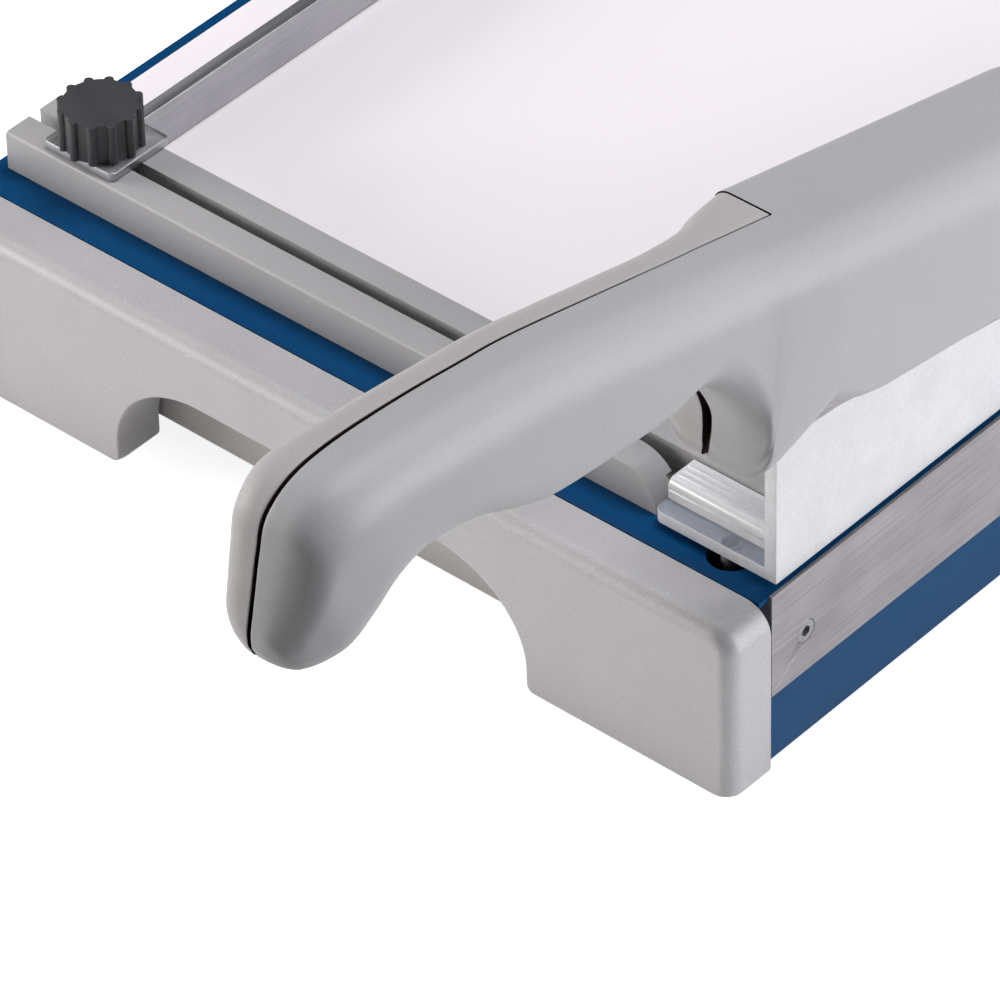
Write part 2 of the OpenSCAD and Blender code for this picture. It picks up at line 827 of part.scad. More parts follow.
// Closed solid through a list of rings of equal length, its ends fanned from
// the middle of the first and last ring
function middle(ring) = [for (k = [0 : 2]) let (c = [for (p = ring) p[k]])
    (min(c) + max(c)) / 2];
module loft(rings) {
    n = len(rings[0]);
    m = len(rings);
    polyhedron(
        points = concat([for (r = rings, p = r) p],
            [middle(rings[0]), middle(rings[m - 1])]),
        faces = concat(
            [for (i = [0 : n - 1]) [m * n, i, (i + 1) % n]],
            [for (i = [0 : n - 1]) [m * n + 1, (m - 1) * n + (i + 1) % n,
                (m - 1) * n + i]],
            [for (j = [0 : m - 2], i = [0 : n - 1])
                [j * n + i, (j + 1) * n + i, j * n + (i + 1) % n]],
            [for (j = [0 : m - 2], i = [0 : n - 1])
                [j * n + (i + 1) % n, (j + 1) * n + i,
                    (j + 1) * n + (i + 1) % n]]));
}

// Hollow half through a list of half rings, its ends closed by strips
module shell_loft(rings) {
    n = len(rings[0]);
    m = len(rings);
    k = n / 2;
    end = (m - 1) * n;
    polyhedron(
        points = [for (r = rings, p = r) p],
        faces = concat(
            [for (i = [0 : k - 2]) [i, i + 1, n - 2 - i]],
            [for (i = [0 : k - 2]) [i, n - 2 - i, n - 1 - i]],
            [for (i = [0 : k - 2]) [end + i + 1, end + i, end + n - 2 - i]],
            [for (i = [0 : k - 2]) [end + n - 2 - i, end + i, end + n - 1 - i]],
            [for (j = [0 : m - 2], i = [0 : n - 1])
                [j * n + i, (j + 1) * n + i, j * n + (i + 1) % n]],
            [for (j = [0 : m - 2], i = [0 : n - 1])
                [j * n + (i + 1) % n, (j + 1) * n + i,
                    (j + 1) * n + (i + 1) % n]]));
}

// One grip half at a station; its last values are the hollow's depth and how
// far the right half's underside is lifted
function grip_half_ring(s, side, x0) = let (
    top = row_top(s),
    low = side > 0 ? mix(row_low(s), top, s[9]) : row_low(s),
    h = norm(top - low),
    w = side > 0 ? parting_x + grip_right * s[4] - x0
        : x0 - parting_x + grip_left * s[5],
    r = s[6] * (side > 0 ? grip_round : cover_round * (1 - edge_share * s[7])),
    rt = min(r, h * 0.45, w * 0.8),
    rb = min(r * 0.9, h * 0.4, w * 0.8),
    lift = (crest_h * floor_share - low[1]) / max(top[1] - low[1], over) * h)
    on_row(half_ring(x0, w, h, rt, rb, side, side > 0 ? 0 : flare * s[7], lift,
        s[8]), low, top);

depth_rows = smooth([for (i = [0 : len(grip_shares) - 1])
    concat(grip_shares[i], [depth_shares[i], i == len(grip_shares) - 1
        ? lift_share : 0])], row_steps);

function tongue_outline() = let (rows = [for (i = [tongue_rows[0] :
    tongue_rows[1]]) grip_shares[i]],
    w0 = crest_h * (floor_share + 0.1)) concat(
    [for (s = rows) mix(row_top(s), row_low(s), min(tongue_share,
        (row_top(s)[1] - w0 - crest_h * 0.2)
        / (row_top(s)[1] - row_low(s)[1])))],
    [[web_u, w0 + crest_h * 0.2], [web_u, w0]],
    [for (i = [len(rows) - 1 : -1 : 0]) let (s = rows[i])
        mix(row_low(s), row_top(s), max(tongue_share,
            (w0 - row_low(s)[1]) / (row_top(s)[1] - row_low(s)[1])))]);

function cover_screw_uw() = [for (s = cover_screw_shares)
    [spur_u + grip_l * s[0], crest_h * s[1]]];
function moving_screw_us() = spread(moving_u1 * moving_screw_shares[0],
    moving_u1 * moving_screw_shares[1], moving_screws);
tongue_x0 = web_x + tongue_gap;
tongue_x1 = tongue_x0 + tongue_t;
cover_x0 = parting_x - grip_left;
cover_seat = cover_x0 + shell_wall;
grip_seat = parting_x + grip_right - shell_wall;

// End view of the arm under its straight top edge: hood and web
module arm_section() {
    x0 = cover_x0 - flare;
    r = arm_round;
    q = hood_round;
    polygon(concat(
        arc(arm_x1 - r, -r, r, 0, 90, 8),
        arc(x0 + q, -q, q, 90, 180, 6),
        arc(x0 + q / 2, -hood_t + q / 2, q / 2, 180, 270, 4),
        [[web_x, -hood_t], [web_x, -2 * crest_h], [arm_x1, -2 * crest_h]]));
}

// Plan of the arm, y forward: the hood runs out towards the pivot
module arm_plan() {
    x0 = cover_x0 - flare;
    far = -spur_end;
    polygon([[arm_x1, 0], [web_x, 0], [web_x, far * hood_end_share],
        [x0, far * hood_full_share], [x0, far - over], [arm_x1, far - over]]);
}

// Point of the butt line between the arm and the grip, at the height w
function end_line(w) = [-mix(spur_end, spur_end_low, (spur_top - w)
    / (spur_top - spur_low)), w];

// Grey casting: boss, hooded web, head at the cover's end and a tongue that
// the two grip halves close on
module blade_arm() {
    u = [for (s = web_pocket_shares) spur_end * s];
    roof = [for (a = u) boss_w + arm_slope * a - web_pocket_roof];
    color("#b3b2b6") on_lever() difference() {
        union() {
            difference() {
                intersection() {
                    translate([0, 0, boss_w]) rotate([90 - atan(arm_slope), 0, 0])
                        linear_extrude(spur_end + crest_h) arm_section();
                    translate([0, 0, -boss_w]) linear_extrude(crest_h * 2)
                        arm_plan();
                    along_x(cover_x0 - flare - over, arm_x1 + over) polygon([
                        [0, crest_h * 2], [0, -boss_w * 0.8],
                        [-spur_end * rear_share, web_w], end_line(web_w),
                        end_line(crest_h * 2)]);
                }
                along_x(web_x + web_wall, arm_x1 - web_wall)
                    polygon([[-u[0], -boss_w], [-u[1], -boss_w],
                        [-u[1], roof[1]], [-u[0], roof[0]]]);
            }
            along_x(parting_x, web_x + over) polygon([[-web_u, web_w],
                end_line(web_w), end_line(spur_top - hood_t / 2),
                [-web_u, spur_top - hood_t / 2]]);
            rod_x(web_x - hub_proud, hub_x1, 0, 0, boss_w);
            along_x(tongue_x0, tongue_x1) polygon([for (p = tongue_outline())
                [-p[0], p[1]]]);
            for (a = moving_screw_us()) rod_x(web_x + web_wall - over,
                arm_x1 - web_wall + over, -a, moving_screw_w, moving_boss_r);
        }
        // Dark gap between the hood and the cover
        along_x(cover_x0 - flare - over, parting_x) polygon([
            end_line(spur_low) + [end_seam, 0], end_line(crest_h) + [end_seam, 0],
            [-spur_end - hood_t, crest_h], [-spur_end - hood_t, spur_low]]);
        rod_x(web_x - over, hub_x1 + over, 0, 0, bolt_r + bush_wall + run_gap);
        for (p = cover_screw_uw()) rod_x(tongue_x0 - over, tongue_x1 + over,
            -p[0], p[1], small_screw_r + run_gap);
        for (a = moving_screw_us()) rod_x(0, arm_x1 - web_wall, -a,
            moving_screw_w, blade_screw_r);
    }
}

// Right half of the grip with its half of the spur
module grip_half() {
    color("#b3b2b6") on_lever() difference() {
        shell_loft([for (s = depth_rows) grip_half_ring(s, 1, parting_x)]);
        for (p = cover_screw_uw()) rod_x(grip_seat - over,
            grip_seat + shell_wall * 0.6, -p[0], p[1], small_screw_r);
    }
}

// Left half of the grip with its half of the spur, flared at its end
module handle_cover() {
    color("#b8b4b7") on_lever() difference() {
        shell_loft([for (s = depth_rows) grip_half_ring(s, -1,
            parting_x - seam)]);
        for (p = cover_screw_uw()) {
            rod_x(cover_x0 - flare, cover_seat + over, -p[0], p[1],
                small_screw_r + run_gap);
            rod_x(cover_x0 - flare, cover_x0 + cover_head_h, -p[0], p[1],
                cover_head_r + run_gap);
        }
        buffer_hole();
    }
}

// Sleeves that hold the two halves apart on the tongue
module grip_spacers() {
    color("#8f9296") on_lever() for (p = cover_screw_uw()) difference() {
        union() {
            rod_x(cover_seat + slide_gap, tongue_x0, -p[0], p[1], spacer_r);
            rod_x(tongue_x1, grip_seat - slide_gap, -p[0], p[1], spacer_r);
        }
        rod_x(cover_seat - over, grip_seat + over, -p[0], p[1], small_screw_r);
    }
}

module cover_screws() {
    color("#6f7276") on_lever() for (p = cover_screw_uw()) {
        rod_x(cover_x0, cover_x0 + cover_head_h, -p[0], p[1], cover_head_r);
        rod_x(cover_x0 + cover_head_h, grip_seat + shell_wall * 0.6, -p[0], p[1],
            small_screw_r);
    }
}

buffer_u = spur_u + grip_l * buffer_share;
buffer_w1 = crest_h * grip_shares[19][3] + buffer_in;

module buffer_hole() {
    translate([buffer_x, -buffer_u, -pivot_h])
        cylinder(h = buffer_w1 + pivot_h, r = buffer_r);
}

// Rubber plug that lands on the front panel when the lever is down
module lever_buffer() {
    color("#26282a") on_lever() translate([buffer_x, -buffer_u,
        -pivot_h + buffer_gap]) cylinder(h = buffer_w1 + pivot_h - buffer_gap,
        r = buffer_r);
}

// Curved knife: straight back, convex edge, clipped nose
module moving_blade() {
    low = moving_top - moving_h;
    mid = (moving_u0 + moving_u1) / 2;
    half = (moving_u1 - moving_u0) / 2;
    r = (half * half + belly * belly) / (2 * belly);
    a = asin(half / r);
    color("#b9bbbe") on_lever() difference() {
        along_x(blade_gap, web_x) polygon(concat(
            [[-moving_u0, moving_top]],
            arc(-mid, low - belly + r, r, 270 + a, 270 - a, 40),
            [[-moving_u1, moving_top - moving_nose],
                [-moving_u1 + moving_nose, moving_top]]));
        for (u = moving_screw_us()) {
            rod_x(0, web_x + over, -u, moving_screw_w, blade_screw_r);
            rod_x(0, blade_gap + blade_head_h, -u, moving_screw_w, blade_head_r);
        }
    }
}

module moving_blade_screws() {
    seat = blade_gap + blade_head_h;
    color("#6f7276") on_lever() for (u = moving_screw_us()) {
        rod_x(blade_gap, seat, -u, moving_screw_w, blade_head_r);
        rod_x(seat, arm_x1 - web_wall, -u, moving_screw_w, blade_screw_r);
    }
}

// Guard

guard_z0 = guard_lift;
guard_z1 = guard_lift + guard_plate;
guard_slope = arm_slope;

// Raised tier across a foot, with a rounded front edge
module guard_step(x0, x1, y0, y1) {
    z1 = guard_lift + guard_tier;
    along_x(x0, x1) polygon(concat([[y0, guard_z0], [y1, guard_z0], [y1, z1]],
        arc(y0 + guard_tier_r, z1 - guard_tier_r, guard_tier_r, 90, 180, 6)));
}

module clamp_guard() {
    far = bridge_y0 + guard_clear;
    color("#dcdbe2", 0.6) place() difference() {
        union() {
            round_plate(guard_x0, guard_x1, guard_y0, guard_foot_y1, guard_z0,
                guard_z1, guard_corner);
            box(guard_x0 + guard_foot_l / 2, guard_x1, guard_y0, guard_foot_y1,
                guard_z0, guard_z1);
            guard_step(guard_x0, guard_x1, guard_tier_y, guard_foot_y1);
            along_x(guard_x1 - guard_t, guard_x1) polygon([[guard_y0, guard_z0],
                [far, guard_z0], [far, guard_h - guard_slope * far],
                [guard_y0, guard_h]]);
            box(guard_x1 - guard_flange, guard_x1, cut_y0 + guard_clear,
                bridge_y1, guard_z0, guard_z1);
            box(guard_x0, guard_x1, bridge_y0, bridge_y1, guard_z0, guard_z1);
            round_plate(guard_x0, rear_foot_x1, bridge_y0,
                bridge_y0 + rear_foot_d, guard_z0, guard_z1, guard_corner);
        }
        for (i = [0, 1]) rod_z(0, guard_z0 + post_in, post_x[i], post_y[i], post_r);
    }
}

cup_z0 = -sheet_t - cup_depth - cup_floor;
cup_z1 = -sheet_t;
function clip_room() = side_h + cup_z0 + over;

// Steel posts with a collar that the springs push up
module guard_posts() {
    color("#8f9296") place() for (i = [0, 1]) {
        rod_z(cup_z0 - clip_t - post_tail, guard_z0 + post_in, post_x[i],
            post_y[i], post_r);
        rod_z(-collar_drop - collar_t, -collar_drop, post_x[i], post_y[i],
            collar_r);
    }
}

module guard_bushes() {
    color("#4a4b50") place() for (i = [0, 1]) difference() {
        rod_z(cup_z0, cup_z1, post_x[i], post_y[i], cup_r);
        rod_z(cup_z0 + cup_floor, cup_z1 + over, post_x[i], post_y[i], cup_bore);
        rod_z(cup_z0 - over, cup_z1, post_x[i], post_y[i], post_r + run_gap);
    }
}

// One tube wound on a helix from z0 to z1, its ends inside that height
module spring(z0, z1, turns) {
    n = turns * turn_steps;
    pitch = (z1 - z0 - spring_wire) / turns;
    rings = [for (i = [0 : n]) let (a = 360 * i / turn_steps,
        z = z0 + spring_wire / 2 + pitch * i / turn_steps)
        [for (k = [0 : wire_sides - 1]) let (b = 360 * k / wire_sides,
            r = spring_r + spring_wire / 2 * cos(b))
            [r * cos(a), r * sin(a), z + spring_wire / 2 * sin(b)]]];
    loft(rings);
}

module guard_springs() {
    color("#8b8e92") place() for (i = [0, 1]) translate([post_x[i], post_y[i], 0])
        spring(cup_z0 + cup_floor, -collar_drop - collar_t, spring_turns);
}

module guard_clips() {
    color("#55585c") place() for (i = [0, 1]) difference() {
        rod_z(cup_z0 - clip_t, cup_z0, post_x[i], post_y[i], clip_r);
        rod_z(cup_z0 - clip_t - over, cup_z0 + over, post_x[i], post_y[i], post_r);
    }
}

// Backstop

stop_slot_y = fence_slot_y(fence_y);
stop_z0 = board_t + slide_gap;
stop_z1 = fence_h + slide_gap;

module backstop_bar() {
    y0 = cut_y0 + slide_gap;
    color("#c4c5c9") place() difference() {
        union() {
            box(stop_x - stop_t / 2, stop_x + stop_t / 2, y0, y0 + stop_l,
                stop_z0, stop_z1 + stop_plate_t);
            round_plate(stop_x - stop_plate_w / 2, stop_x + stop_plate_w / 2,
                fence_y + stop_lap, y0 + stop_lap, stop_z1,
                stop_z1 + stop_plate_t, stop_lap);
        }
        rod_z(0, stop_z1 + stop_plate_t + over, stop_x, stop_slot_y,
            stud_r + run_gap);
    }
}

module backstop_slider() {
    w = cavity_w / 2 - slide_gap;
    z0 = fence_floor + slide_gap;
    z1 = fence_floor + cavity_h - slide_gap;
    color("#8f9296") place() difference() {
        box(stop_x - slider_l / 2, stop_x + slider_l / 2, stop_slot_y - w,
            stop_slot_y + w, z0, z1);
        rod_z(z1 - stud_bite - slide_gap, z1 + over, stop_x, stop_slot_y,
            stud_r + run_gap);
    }
}

module knob_screw() {
    z0 = fence_floor + cavity_h - slide_gap - stud_bite;
    color("#8f9296") place() rod_z(z0, stop_z1 + stop_plate_t + knob_h / 2,
        stop_x, stop_slot_y, stud_r);
}

module backstop_knob() {
    z0 = stop_z1 + stop_plate_t;
    color("#3a3c40") place() translate([stop_x, stop_slot_y, z0]) difference() {
        union() {
            cylinder(h = knob_h, r = knob_r);
            for (i = [1 : knob_ribs]) rotate(360 * i / knob_ribs)
                translate([knob_r, 0, 0]) cylinder(h = knob_h, r = knob_rib_r);
        }
        cylinder(h = knob_h, r = stud_r, center = true);
    }
}

table_top();
worktop_board();
side_rail();
left_rail();
front_rail();
rear_rail();
cross_braces();
front_panel();
rear_panel();
panel_screws();
front_fence();
rear_fence();
fence_screws();
fence_nuts();
rubber_feet();
foot_screws();
fixed_blade();
fixed_blade_screws();
hinge_bracket();
bracket_screws();
pivot_bolt();
thrust_washer();
pivot_bush();
disc_springs();
pivot_washer();
pivot_nut();
blade_arm();
grip_half();
handle_cover();
grip_spacers();
cover_screws();
lever_buffer();
moving_blade();
moving_blade_screws();
clamp_guard();
guard_posts();
guard_bushes();
guard_springs();
guard_clips();
backstop_bar();
backstop_slider();
knob_screw();
backstop_knob();
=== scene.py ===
import json
import math

import bmesh
import bpy
from mathutils import Matrix, Vector
from mathutils.geometry import delaunay_2d_cdt


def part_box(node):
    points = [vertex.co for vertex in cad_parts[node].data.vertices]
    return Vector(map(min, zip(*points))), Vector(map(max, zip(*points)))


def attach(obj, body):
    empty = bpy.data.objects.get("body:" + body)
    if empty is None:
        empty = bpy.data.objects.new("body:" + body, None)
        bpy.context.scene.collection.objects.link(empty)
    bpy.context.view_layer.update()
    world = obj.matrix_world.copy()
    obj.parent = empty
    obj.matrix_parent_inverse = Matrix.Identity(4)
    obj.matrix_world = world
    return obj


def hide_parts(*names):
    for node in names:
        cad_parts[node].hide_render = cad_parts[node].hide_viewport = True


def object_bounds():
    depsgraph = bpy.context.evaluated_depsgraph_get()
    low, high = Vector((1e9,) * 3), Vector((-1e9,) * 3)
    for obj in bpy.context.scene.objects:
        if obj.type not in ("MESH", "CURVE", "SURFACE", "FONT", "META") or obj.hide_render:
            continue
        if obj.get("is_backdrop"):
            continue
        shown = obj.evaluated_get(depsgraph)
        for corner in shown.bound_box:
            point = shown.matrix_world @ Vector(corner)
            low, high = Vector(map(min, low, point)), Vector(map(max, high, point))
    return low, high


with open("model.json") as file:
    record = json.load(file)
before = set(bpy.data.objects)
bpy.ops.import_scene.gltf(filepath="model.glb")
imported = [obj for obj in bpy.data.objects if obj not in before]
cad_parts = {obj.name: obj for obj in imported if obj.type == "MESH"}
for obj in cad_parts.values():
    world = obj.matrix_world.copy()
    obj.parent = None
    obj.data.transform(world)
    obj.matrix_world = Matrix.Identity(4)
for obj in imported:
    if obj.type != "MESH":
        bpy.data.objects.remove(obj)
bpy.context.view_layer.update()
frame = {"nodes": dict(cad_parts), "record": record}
cad = frame["nodes"]
home = {n: b for b, ns in frame["record"]["behaviour"]["bodies"].items() for n in ns}

# Where the cutter lies: the cutting plane, the back of the front panel and the
# top of the table meet at this point, and the pieces are measured from it in mm.
CORNER = Vector((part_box("fixed_blade")[1].x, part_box("side_rail")[0].y,
                 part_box("table_top")[1].z))


def at(x, y, z):
    return CORNER + Vector((x, y, z)) / 1000


# Camera: a long lens looks down on the front right corner of the cutter. Its place,
# angle and lens were fitted to the photograph by least squares.
def placed(name, data):
    """A new object with this data, in the scene."""
    o = bpy.data.objects.new(name, data)
    bpy.context.scene.collection.objects.link(o)
    return o


SEEN_FROM = at(895.65, -1086.93, 1207.28)
AZIMUTH, ELEVATION, ROLL = math.radians(42), math.radians(39.8), math.radians(-1.5)
level = Vector((math.cos(AZIMUTH), math.sin(AZIMUTH), 0))
ahead = Vector((-math.sin(AZIMUTH) * math.cos(ELEVATION),
                math.cos(AZIMUTH) * math.cos(ELEVATION), -math.sin(ELEVATION)))
upward = level.cross(ahead)
right = math.cos(ROLL) * level + math.sin(ROLL) * upward
up = -math.sin(ROLL) * level + math.cos(ROLL) * upward
camera = placed("camera", bpy.data.cameras.new("camera"))
camera.matrix_world = (Matrix.Translation(SEEN_FROM)
                       @ Matrix((right, up, -ahead)).transposed().to_4x4())
camera.data.lens = 280.3
camera.data.sensor_width = 36
camera.data.clip_end = 50
bpy.context.scene.camera = camera


# Studio: two low softboxes and a higher one on the left, two on the right and one
# above. Their powers were fitted to the photograph's tones, then changed.
LAMP_AWAY = 1.9


def softbox(name, azimuth, height, size, power, color):
    """A rectangular lamp aimed at the corner, from degrees round and up."""
    lamp = bpy.data.lights.new(name, "AREA")
    lamp.shape = "RECTANGLE"
    lamp.size, lamp.size_y = size
    lamp.energy = power
    lamp.color = color
    o = placed(name, lamp)
    aim = at(0, 0, 0)
    a, e = math.radians(azimuth), math.radians(height)
    o.location = aim + LAMP_AWAY * Vector((math.sin(a) * math.cos(e),
                                           -math.cos(a) * math.cos(e), math.sin(e)))
    o.rotation_euler = (aim - o.location).to_track_quat("-Z", "Y").to_euler()


softbox("softbox_left", -30, 10, (0.9, 0.6), 4.5, (1.0, 0.975, 0.955))
softbox("softbox_far_left", -62, 12, (0.9, 0.6), 23.5, (1.0, 0.97, 0.945))
softbox("softbox_high_left", -90, 45, (0.9, 0.9), 3.5, (1.0, 0.99, 0.97))
softbox("softbox_right", 122, 24, (1.1, 0.9), 17.5, (0.97, 0.98, 1.0))
softbox("softbox_low_right", 112, 3, (0.9, 0.5), 15.5, (0.97, 0.98, 1.0))
softbox("softbox_top", 180, 75, (0.8, 0.8), 25.5, (0.985, 0.98, 1.0))
room = bpy.data.worlds.new("room")
bpy.context.scene.world = room
room.use_nodes = True
sky = room.node_tree.nodes["Background"]
sky.inputs["Color"].default_value = (0.95, 0.96, 1.0, 1)
sky.inputs["Strength"].default_value = 0.04
bpy.context.scene.view_settings.view_transform = "Standard"


# Floor: a white ground that glows towards the camera. No real ground acts so: for all
# other rays it glows weakly and is dark in front of the right corner, so that less
# light bounces back on the grip's tip.
def wire(tree, *joins):
    """Links in a node tree, each (from node, its output, to node, its input)."""
    for source, out, target, into in joins:
        tree.links.new(source.outputs[out], target.inputs[into])


FLOOR_HALF = 6
DARK_MIDDLE = (CORNER.x + 0.31, CORNER.y - 0.41, 0)
DARK_TO, LIGHT_FROM = 0.26, 0.44
floor_mesh = bpy.data.meshes.new("floor")
floor_mesh.from_pydata([(FLOOR_HALF * x, FLOOR_HALF * y, 0) for x, y in
                        ((-1, -1), (1, -1), (1, 1), (-1, 1))], [], [(0, 1, 2, 3)])
floor = placed("floor", floor_mesh)
paper = bpy.data.materials.new("white_floor")
paper.use_nodes = True
pt = paper.node_tree
paper_shader = pt.nodes["Principled BSDF"]
paper_shader.inputs["Roughness"].default_value = 0.95
paper_shader.inputs["Specular IOR Level"].default_value = 0.0
paper_shader.inputs["Emission Color"].default_value = (1, 1, 1, 1)
seen = pt.nodes.new("ShaderNodeLightPath")
dim = pt.nodes.new("ShaderNodeMath")
dim.operation = "MULTIPLY"
dim.inputs[1].default_value = 0.2
glow = pt.nodes.new("ShaderNodeMix")
glow.inputs["B"].default_value = 0.86
spot = pt.nodes.new("ShaderNodeTexCoord")
away = pt.nodes.new("ShaderNodeVectorMath")
away.operation = "DISTANCE"
away.inputs[1].default_value = DARK_MIDDLE
bounce = pt.nodes.new("ShaderNodeMapRange")
bounce.inputs["From Min"].default_value = DARK_TO
bounce.inputs["From Max"].default_value = LIGHT_FROM
bounce.inputs["To Min"].default_value = 0.0
bounce.inputs["To Max"].default_value = 0.92
base = pt.nodes.new("ShaderNodeMix")
base.inputs["B"].default_value = 0.7
wire(pt,
     (seen, "Is Camera Ray", glow, "Factor"),
     (bounce, 0, dim, 0),
     (dim, 0, glow, "A"),
     (glow, "Result", paper_shader, "Emission Strength"),
     (spot, "Object", away, 0),
     (away, "Value", bounce, "Value"),
     (seen, "Is Camera Ray", base, "Factor"),
     (bounce, 0, base, "A"),
     (base, "Result", paper_shader, "Base Color"))
floor_mesh.materials.append(paper)
floor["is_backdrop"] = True


# Grain: a fine three-dimensional mottle that the painted and moulded finishes use.
def socket_of(interface, name, kind, value=None, into="INPUT"):
    s = interface.new_socket(name, in_out=into, socket_type=kind)
    if value is not None:
        s.default_value = value
    return s


grain = bpy.data.node_groups.new("surface_grain", "ShaderNodeTree")
socket_of(grain.interface, "Size", "NodeSocketFloat", 900.0)
socket_of(grain.interface, "Cloud Size", "NodeSocketFloat", 30.0)
socket_of(grain.interface, "Cloud Share", "NodeSocketFloat", 0.3)
socket_of(grain.interface, "Mottle", "NodeSocketFloat", into="OUTPUT")
socket_of(grain.interface, "Fine", "NodeSocketFloat", into="OUTPUT")
socket_of(grain.interface, "Cloud", "NodeSocketFloat", into="OUTPUT")
g_in = grain.nodes.new("NodeGroupInput")
g_out = grain.nodes.new("NodeGroupOutput")
g_co = grain.nodes.new("ShaderNodeTexCoord")
g_fine = grain.nodes.new("ShaderNodeTexNoise")
g_cloud = grain.nodes.new("ShaderNodeTexNoise")
g_mix = grain.nodes.new("ShaderNodeMix")
g_fine.inputs["Detail"].default_value = 3
g_cloud.inputs["Detail"].default_value = 2
wire(grain,
     (g_co, "Object", g_fine, "Vector"),
     (g_co, "Object", g_cloud, "Vector"),
     (g_in, "Size", g_fine, "Scale"),
     (g_in, "Cloud Size", g_cloud, "Scale"),
     (g_in, "Cloud Share", g_mix, "Factor"),
     (g_fine, "Fac", g_mix, "A"),
     (g_cloud, "Fac", g_mix, "B"),
     (g_mix, "Result", g_out, "Mottle"),
     (g_fine, "Fac", g_out, "Fine"),
     (g_cloud, "Fac", g_out, "Cloud"))


def finish(name, dark, light, rough, size, cloud=30.0, cloudy=0.3, bump=0.1,
           height=0.00005, metal=0.0, spread=0.04, gloss=0.5, sparkle=0.0):
    """A mottled finish between two colours, with its own grain, gloss and flecks."""
    m = bpy.data.materials.new(name)
    m.use_nodes = True
    t = m.node_tree
    shader = t.nodes["Principled BSDF"]
    group = t.nodes.new("ShaderNodeGroup")
    group.node_tree = grain
    group.inputs["Size"].default_value = size
    group.inputs["Cloud Size"].default_value = cloud
    group.inputs["Cloud Share"].default_value = cloudy
    ramp = t.nodes.new("ShaderNodeValToRGB")
    ramp.color_ramp.elements[0].position = 0.36
    ramp.color_ramp.elements[1].position = 0.64
    ramp.color_ramp.elements[0].color = (*dark, 1)
    ramp.color_ramp.elements[1].color = (*light, 1)
    sheen = t.nodes.new("ShaderNodeMapRange")
    sheen.inputs["To Min"].default_value = rough - spread
    sheen.inputs["To Max"].default_value = rough + spread
    relief = t.nodes.new("ShaderNodeBump")
    relief.inputs["Strength"].default_value = bump
    relief.inputs["Distance"].default_value = height
    wire(t,
         (group, "Mottle", ramp, "Fac"),
         (group, "Cloud", sheen, "Value"),
         (sheen, 0, shader, "Roughness"),
         (group, "Fine", relief, "Height"),
         (relief, "Normal", shader, "Normal"))
    color = ramp.outputs["Color"]
    if sparkle:
        where = t.nodes.new("ShaderNodeTexCoord")
        flakes = t.nodes.new("ShaderNodeTexVoronoi")
        flakes.inputs["Scale"].default_value = 2600
        pick = t.nodes.new("ShaderNodeMapRange")
        pick.inputs["From Min"].default_value = 0.86
        pick.inputs["To Max"].default_value = sparkle
        bright = t.nodes.new("ShaderNodeMix")
        bright.data_type = "RGBA"
        bright.inputs["B"].default_value = (0.9, 0.9, 0.93, 1)
        wire(t,
             (where, "Object", flakes, "Vector"),
             (flakes, "Color", pick, "Value"),
             (pick, 0, bright, "Factor"))
        t.links.new(color, bright.inputs["A"])
        color = bright.outputs["Result"]
    t.links.new(color, shader.inputs["Base Color"])
    shader.inputs["Metallic"].default_value = metal
    shader.inputs["Specular IOR Level"].default_value = gloss
    return m


def dressed(node, material, soften=0.25, angle=35, segments=2):
    """A merged copy of a CAD node with softened edges, standing for the node."""
    mesh = cad[node].data.copy()
    mesh.name = node + "_piece"
    b = bmesh.new()
    b.from_mesh(mesh)
    bmesh.ops.remove_doubles(b, verts=b.verts, dist=1e-6)
    bmesh.ops.dissolve_limit(b, angle_limit=math.radians(0.5), verts=b.verts,
                             edges=b.edges)
    b.to_mesh(mesh)
    b.free()
    mesh.materials.clear()
    mesh.materials.append(material)
    mesh.polygons.foreach_set("use_smooth", [True] * len(mesh.polygons))
    o = placed(node + "_piece", mesh)
    if soften:
        edge = o.modifiers.new("edge", "BEVEL")
        edge.width = soften / 1000
        edge.segments = segments
        edge.limit_method = "ANGLE"
        edge.angle_limit = math.radians(angle)
        edge.harden_normals = True
        edge.use_clamp_overlap = True
    else:
        mesh.set_sharp_from_angle(angle=math.radians(angle))
    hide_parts(node)
    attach(o, home[node])
    return o


# Table sheet: 1.5 mm steel sheet, powder coated deep blue, punched for the
# guard's two posts. It is seen in front of the front fence and by the guard.
blue = finish("blue_powder_coat", (0.0006, 0.045, 0.138), (0.0012, 0.055, 0.163), 0.5,
              1500, 25, bump=0.25, height=0.00004, gloss=0.07)
dressed("table_top", blue, 0.2)

# Worktop board: a thin white laminate board that lies on the sheet between the
# two fences.
white = finish("white_laminate", (0.87, 0.825, 0.865), (0.91, 0.865, 0.905), 0.5,
               2500, 12, bump=0.08, height=0.00002)
dressed("worktop_board", white, 0.2)

# Rails: two blue aluminium extrusions at the sides carry the sheet. Flat grey steel
# plates close the ends behind the panels, and two braces run across.
blue_rail = finish("blue_rail_coat", (0.001, 0.046, 0.134), (0.002, 0.055, 0.157),
                   0.5, 1300, 20, bump=0.3, gloss=0.25)
grey_coat = finish("grey_coat", (0.36, 0.345, 0.33), (0.41, 0.395, 0.38), 0.6,
                   1400, 40, bump=0.4, height=0.00006)
dressed("side_rail", blue_rail, 0.4)
dressed("left_rail", blue_rail, 0.6)
for node in ("front_rail", "rear_rail", "cross_braces"):
    dressed(node, grey_coat, 0.3)


# End panels: injection-moulded covers in sparkling silver grey, with an arch
# under the middle for the fingers. They are hollow at the back, round on the
# outside, and have four bosses for the screws that hold them to the end rails.
def skin_over(b, rows):
    """Faces between each two rows of vertices, as one list for each two."""
    n = len(rows[0])
    return [[b.faces.new((u[i], u[(i + 1) % n], v[(i + 1) % n], v[i]))
             for i in range(n)] for u, v in zip(rows, rows[1:])]


